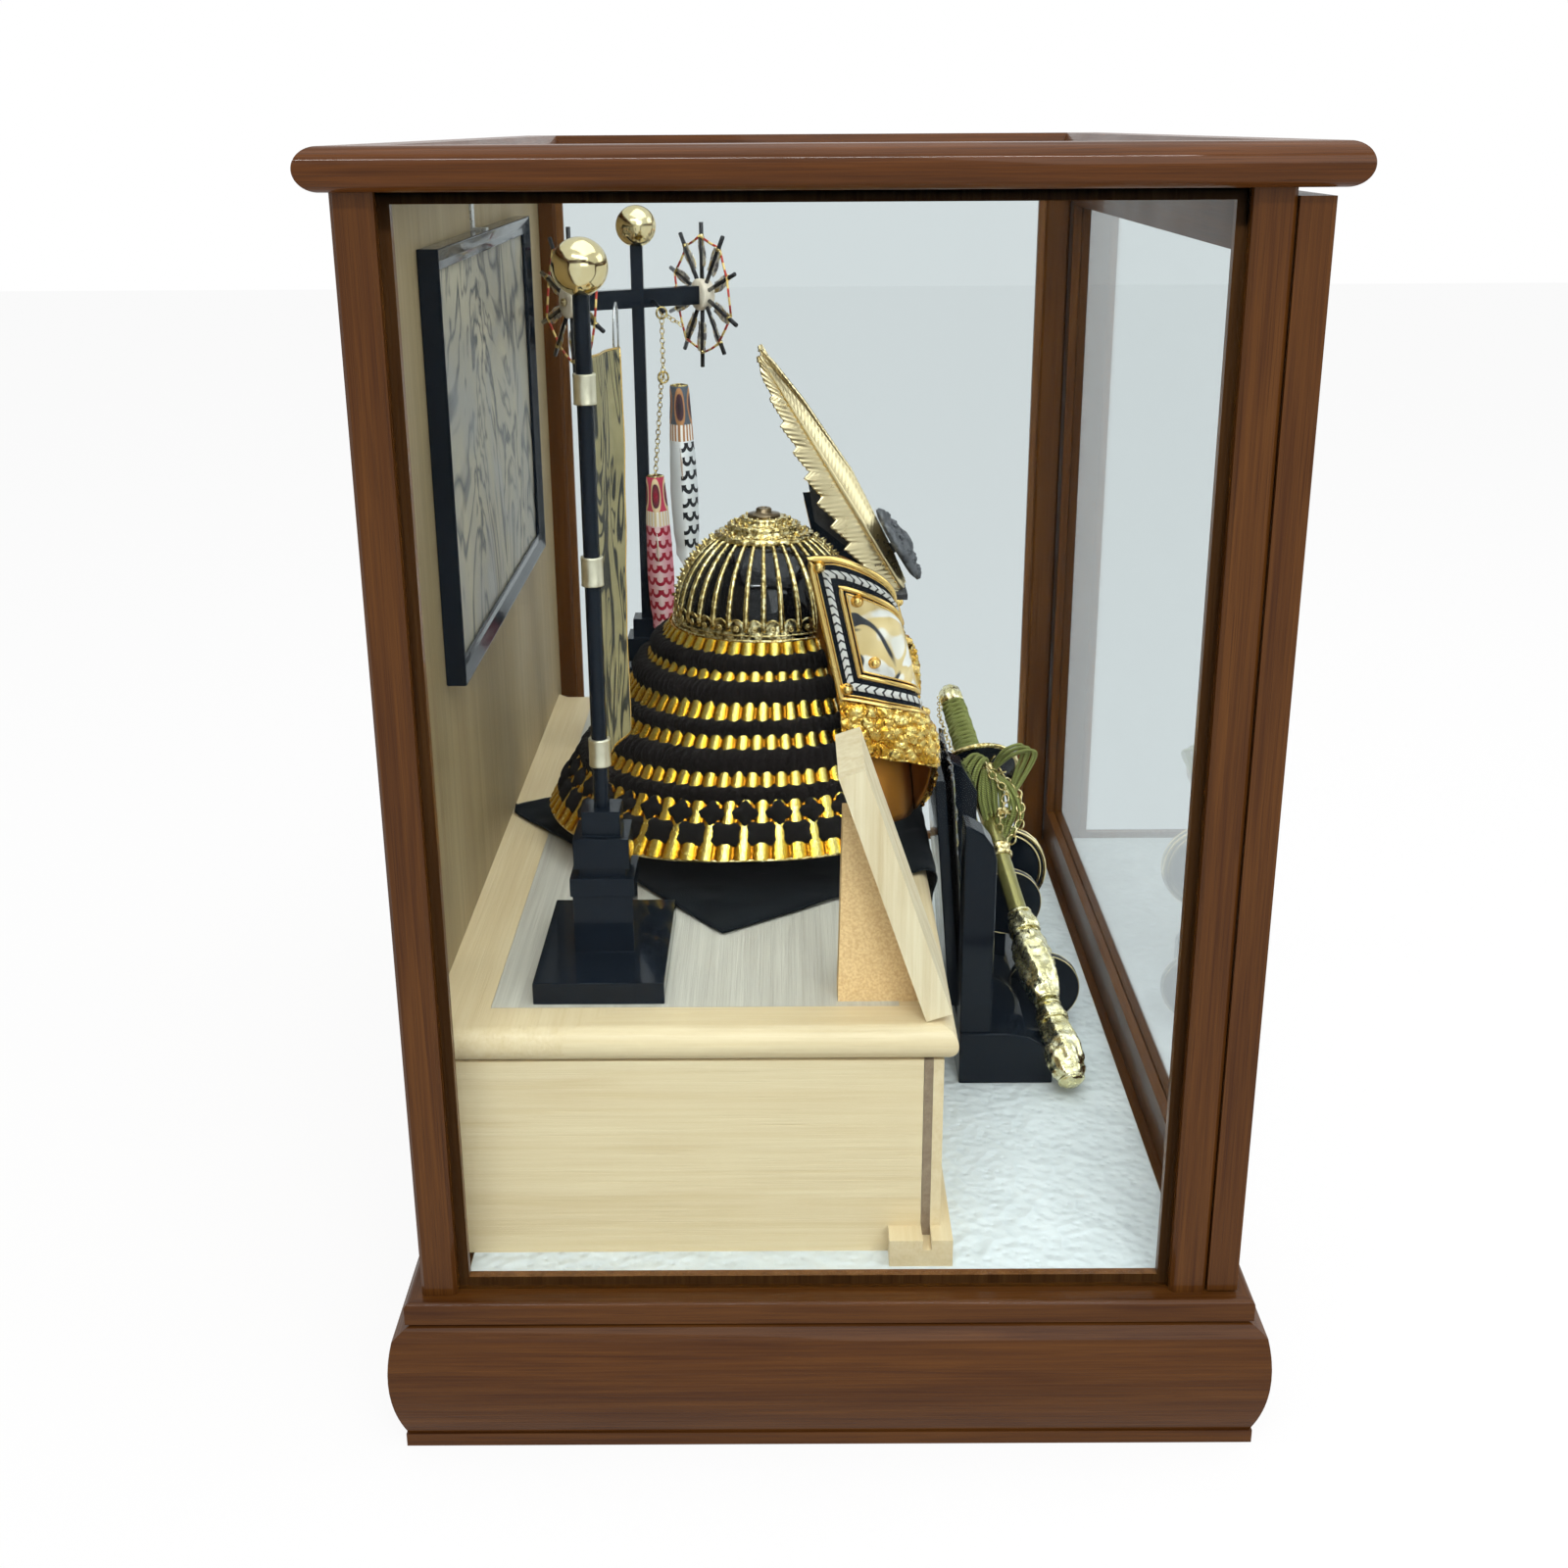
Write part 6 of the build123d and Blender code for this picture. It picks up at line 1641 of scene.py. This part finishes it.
for k in range(12):
    spot = 2 * pi * k / 12
    guard_rim.append(tube(
        [by_sword(JOINT + 0.1, spot, 14.5), by_sword(JOINT + 0.1, spot + 0.05, 19.5)], 0.8, 6
    ))
make("guard_rim", guard_rim, gold)
HILT_START, HILT_RUN, WRAP_TURNS = JOINT + 2.6, 66.5, 7.5
HILT_END = HILT_START + HILT_RUN
grip = make(
    "hilt_core",
    turned(
        [
            (6.9, HILT_START), (7.3, HILT_START + 1.5), (6.7, HILT_START + 4), (6.0, HILT_START + 30),
            (5.9, HILT_END - 9), (4.0, HILT_END - 8)
        ]
    ),
    olive_gilt
)
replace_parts(grip, "sword_hilt")
olive_cord = Finish("olive_cord", (0.165, 0.185, 0.055), 0.6, Sheen_Weight=0.03, Specular_IOR_Level=0.2)
lay = olive_cord.split(olive_cord.own("UV"))
# The cord's colour runs dark in the grooves between its plies and light on their crests: painted shade and
# highlight.
ply_shade_and_highlight = olive_cord.maths(
    "SINE", olive_cord.plus(olive_cord.times(lay[1], 6.0), olive_cord.times(lay[0], 12.5))
)
olive_cord.set(Base_Color=olive_cord.blend(
    olive_cord.span(ply_shade_and_highlight, -1.0, 1.0), (0.075, 0.088, 0.016), (0.42, 0.45, 0.13)
))
olive_cord.bump(ply_shade_and_highlight, 0.0003)
wraps = []
for hand in (-1, 1):
    for strand_number in range(2):
        line = []
        for k in range(181):
            share = k / 180
            turn = hand * share * WRAP_TURNS * 2 * pi + strand_number * pi
            lift = 6.9 - 0.9 * share + 0.5 * sin(2 * turn + hand)
            line.append(by_sword(HILT_START + 4 + share * (HILT_RUN - 15), turn, lift))
        wraps.append(tube(line, 1.35, 6, flat=0.7))
make("hilt_wrapping", wraps, olive_cord, marked=True)
hilt_metal = [turned(
    [
        (6.6, HILT_END - 12), (7.3, HILT_END - 11), (7.1, HILT_END - 5), (6.6, HILT_END - 1),
        (4.8, HILT_END + 1.6), (2.2, HILT_END + 2.4), (0.01, HILT_END + 2.5)
    ],
    48, lambda t, d: 1 + 0.05 * cos(8 * t)
)]
hilt_metal.append(turned(
    [
        (6.4, HILT_START - 0.2), (8.4, HILT_START), (8.2, HILT_START + 3.5), (7.0, HILT_START + 5),
        (6.2, HILT_START + 5.2)
    ]
))
make("hilt_fittings", hilt_metal, cast_gilt)

# The tied cord: five bunches of strands from a knot by the guard, gathered at the scabbard's collar.
random.seed(11)
BUNCHES = (
    (6, ((62, -103, 204), (52, -97, 214), (45, -90, 207), (41, -88, 190), (38, -93, 175), (33, -102, 166))),
    (
        5,
        (
            (57, -105, 203), (52, -113, 215), (55, -124, 218), (56, -127, 214), (50, -121, 202),
            (42, -114, 190)
        )
    ),
    (5, ((58, -104, 203), (46, -112, 199), (38, -118, 186), (34, -114, 174), (30, -108.5, 163))),
    (5, ((52, -100, 207), (42, -100, 192), (37, -103, 178), (31, -107.5, 164))),
    (4, ((56, -103, 205), (45, -107, 197), (38, -108, 184), (32, -110, 168))),
)
loops = []
for strands_count, corners in BUNCHES:
    corners = [Vector(corner) for corner in corners]
    ends = [corners[0] * 2 - corners[1]] + corners + [corners[-1] * 2 - corners[-2]]
    for strand_number in range(strands_count):
        offset = strand_number - (strands_count - 1) / 2
        line = []
        for k in range(1, len(ends) - 2):
            before, start, stop, after = ends[k - 1:k + 3]
            for step in range(8):
                s = step / 8
                square = 2 * before - 5 * start + 4 * stop - after
                cube = 3 * start - before - 3 * stop + after
                curve = 0.5 * (2 * start + (stop - before) * s + square * s * s + cube * s ** 3)
                share = (k - 1 + s) / (len(ends) - 3)
                out = sin(pi * share) ** 0.7
                line.append(
                    curve + Vector((-0.35 * abs(offset), 2.0 * offset * out, 1.0 * offset * out))
                    + Vector((-2.0 * (strand_number % 2), 0, 0))
                )
        loops.append(tube(line, 0.95, 8))
make("scabbard_cord", loops, olive_cord, marked=True)
bindings = []
for middle, reach in (((33, -105, 166.5), 5.6), ((38, -110, 180), 6.6), ((56, -103.5, 203), 4.6)):
    for k in range(4):
        foot = Vector(middle) + blade_way * (1.3 * k - 2.0)
        bindings.append(tube(
            [
                foot + (side_way * cos(a) + over_way * sin(a)) * (reach - 0.3 * abs(k - 1.5))
                for a in turns(24)
            ],
            0.75, 6, closed=True
        ))
make("cord_bindings", bindings, gold)
chain_line = [
    Vector((56, -108, 203)), Vector((40, -121, 192)), Vector((32, -120, 178)), Vector((27, -112, 164))
]
far_line = [
    Vector((50, -99, 209)), Vector((37, -112, 196)), Vector((30, -108, 181)), Vector((26, -106, 166))
]
hilt_line = [
    by_sword(HILT_END - 6, 3.0, 8), by_sword(HILT_START + 44, 2.9, 12.5),
    by_sword(HILT_START + 22, 2.8, 13), by_sword(HILT_START + 4, 2.9, 9.5)
]
set_out(
    "sword_chain", link_shape, gold, "gold_plate",
    places=links(chain_line, size=1.25) + links(far_line, size=1.1) + links(hilt_line, size=0.7)
)

# ---------------------------------------------------------------- sword rack
# A stepped foot, two uprights, a leaning rest and three round cheeks with bright rims; a crumpled
# gloss-black wrap stands behind them.
def prism(outline, x0, x1):
    """A slab between two planes of constant x, from its outline in y and z."""
    count = len(outline)
    points = [(x, y, z) for x in (x0, x1) for y, z in outline]
    faces = [tuple(range(count)), tuple(range(count, 2 * count))[::-1]]
    faces += [(k, k + count, (k + 1) % count + count, (k + 1) % count) for k in range(count)]
    return points, faces, [(0, 0)] * (2 * count)


RACK_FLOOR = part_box("sword_stand")[0][2] / MM
foot_top = RACK_FLOOR + 30.0
rack = [prism(
    (
        (-126, RACK_FLOOR), (-75, RACK_FLOOR), (-75, foot_top), (-100, foot_top), (-112, foot_top - 2.2),
        (-121, foot_top - 7.5), (-126, foot_top - 15)
    ),
    -95.5, 62.0
)]
tall = (
    (-92, foot_top - 1), (-75, foot_top - 1), (-75, 225), (-78, 224), (-85, 220), (-90, 213), (-92, 205)
)
rack.append(prism(tall, -93.0, -75.0))
rack.append(prism(
    (
        (-110, foot_top - 1), (-75, foot_top - 1), (-75, 225), (-83, 221), (-92, 205), (-92, 154),
        (-110, 150)
    ),
    12.0, 30.0
))
DISC_THICK = 5.0
DISCS = (
    (-22.0, -130.0, 96.5, 21.0, 0.35), (7.0, -111.0, 138.0, 20.0, 0.35), (50.0, -113.0, 141.5, 26.0, 0.95)
)
for x, y, z, reach, _ in DISCS:
    rack.append(prism([(y + reach * cos(a), z + reach * sin(a)) for a in turns(72)], x, x + DISC_THICK))
    rack.append(prism(((y, RACK_FLOOR), (-80, RACK_FLOOR), (-80, z), (y, z)), x + 0.2, x + 4.8))
rack.append(prism(((-78, foot_top - 1), (-72, foot_top - 1), (-61, 238), (-67, 238)), -60.0, 20.0))
stand = make("rack_body", rack, black_gloss, smooth=False)
arris = stand.modifiers.new("arris", "BEVEL")
arris.width, arris.segments = 0.0008, 2
arris.limit_method, arris.angle_limit = "ANGLE", radians(35.0)
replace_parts(stand, "sword_stand")
rims = []
for x, y, z, reach, thick in reversed(DISCS):
    for face_x in (x - 0.1, x + DISC_THICK + 0.1):
        for inset in ((0.4, 3.4) if thick > 0.5 else (0.4,)):
            rim = reach - inset
            rims.append(tube(
                [(face_x, y + rim * cos(a), z + rim * sin(a)) for a in turns(72)], thick, 6, closed=True
            ))
make("rack_rims", rims, gilt)
wrap_black = lacquer("crumpled_gloss", (0.004, 0.004, 0.005), 1.0, (0.04, 0.10), 0.0)


def crumpled(u, v):
    x, z = -62.0 + 86.0 * u, 104.0 + 136.0 * v
    lean = 11.0 * v
    crease = ripple(x * 0.07, z * 0.05, 3.0) + 0.9 * abs(ripple(x * 0.17, z * 0.12, 8.0)) - 0.4
    crease += 0.35 * abs(ripple(x * 0.4, z * 0.33, 4.0))
    edge = 1 - abs(2 * u - 1) ** 6
    return (
        x + 2.5 * ripple(z * 0.05, x * 0.05, 1.0), -79.6 + lean + 4.2 * crease * edge - 1.5,
        z + 3 * ripple(x * 0.06, 1, 1) * v
    )


wrapped = make("crumpled_wrap", surface(crumpled, 70, 110), wrap_black)
thicken(wrapped, 0.0012, 0.0)
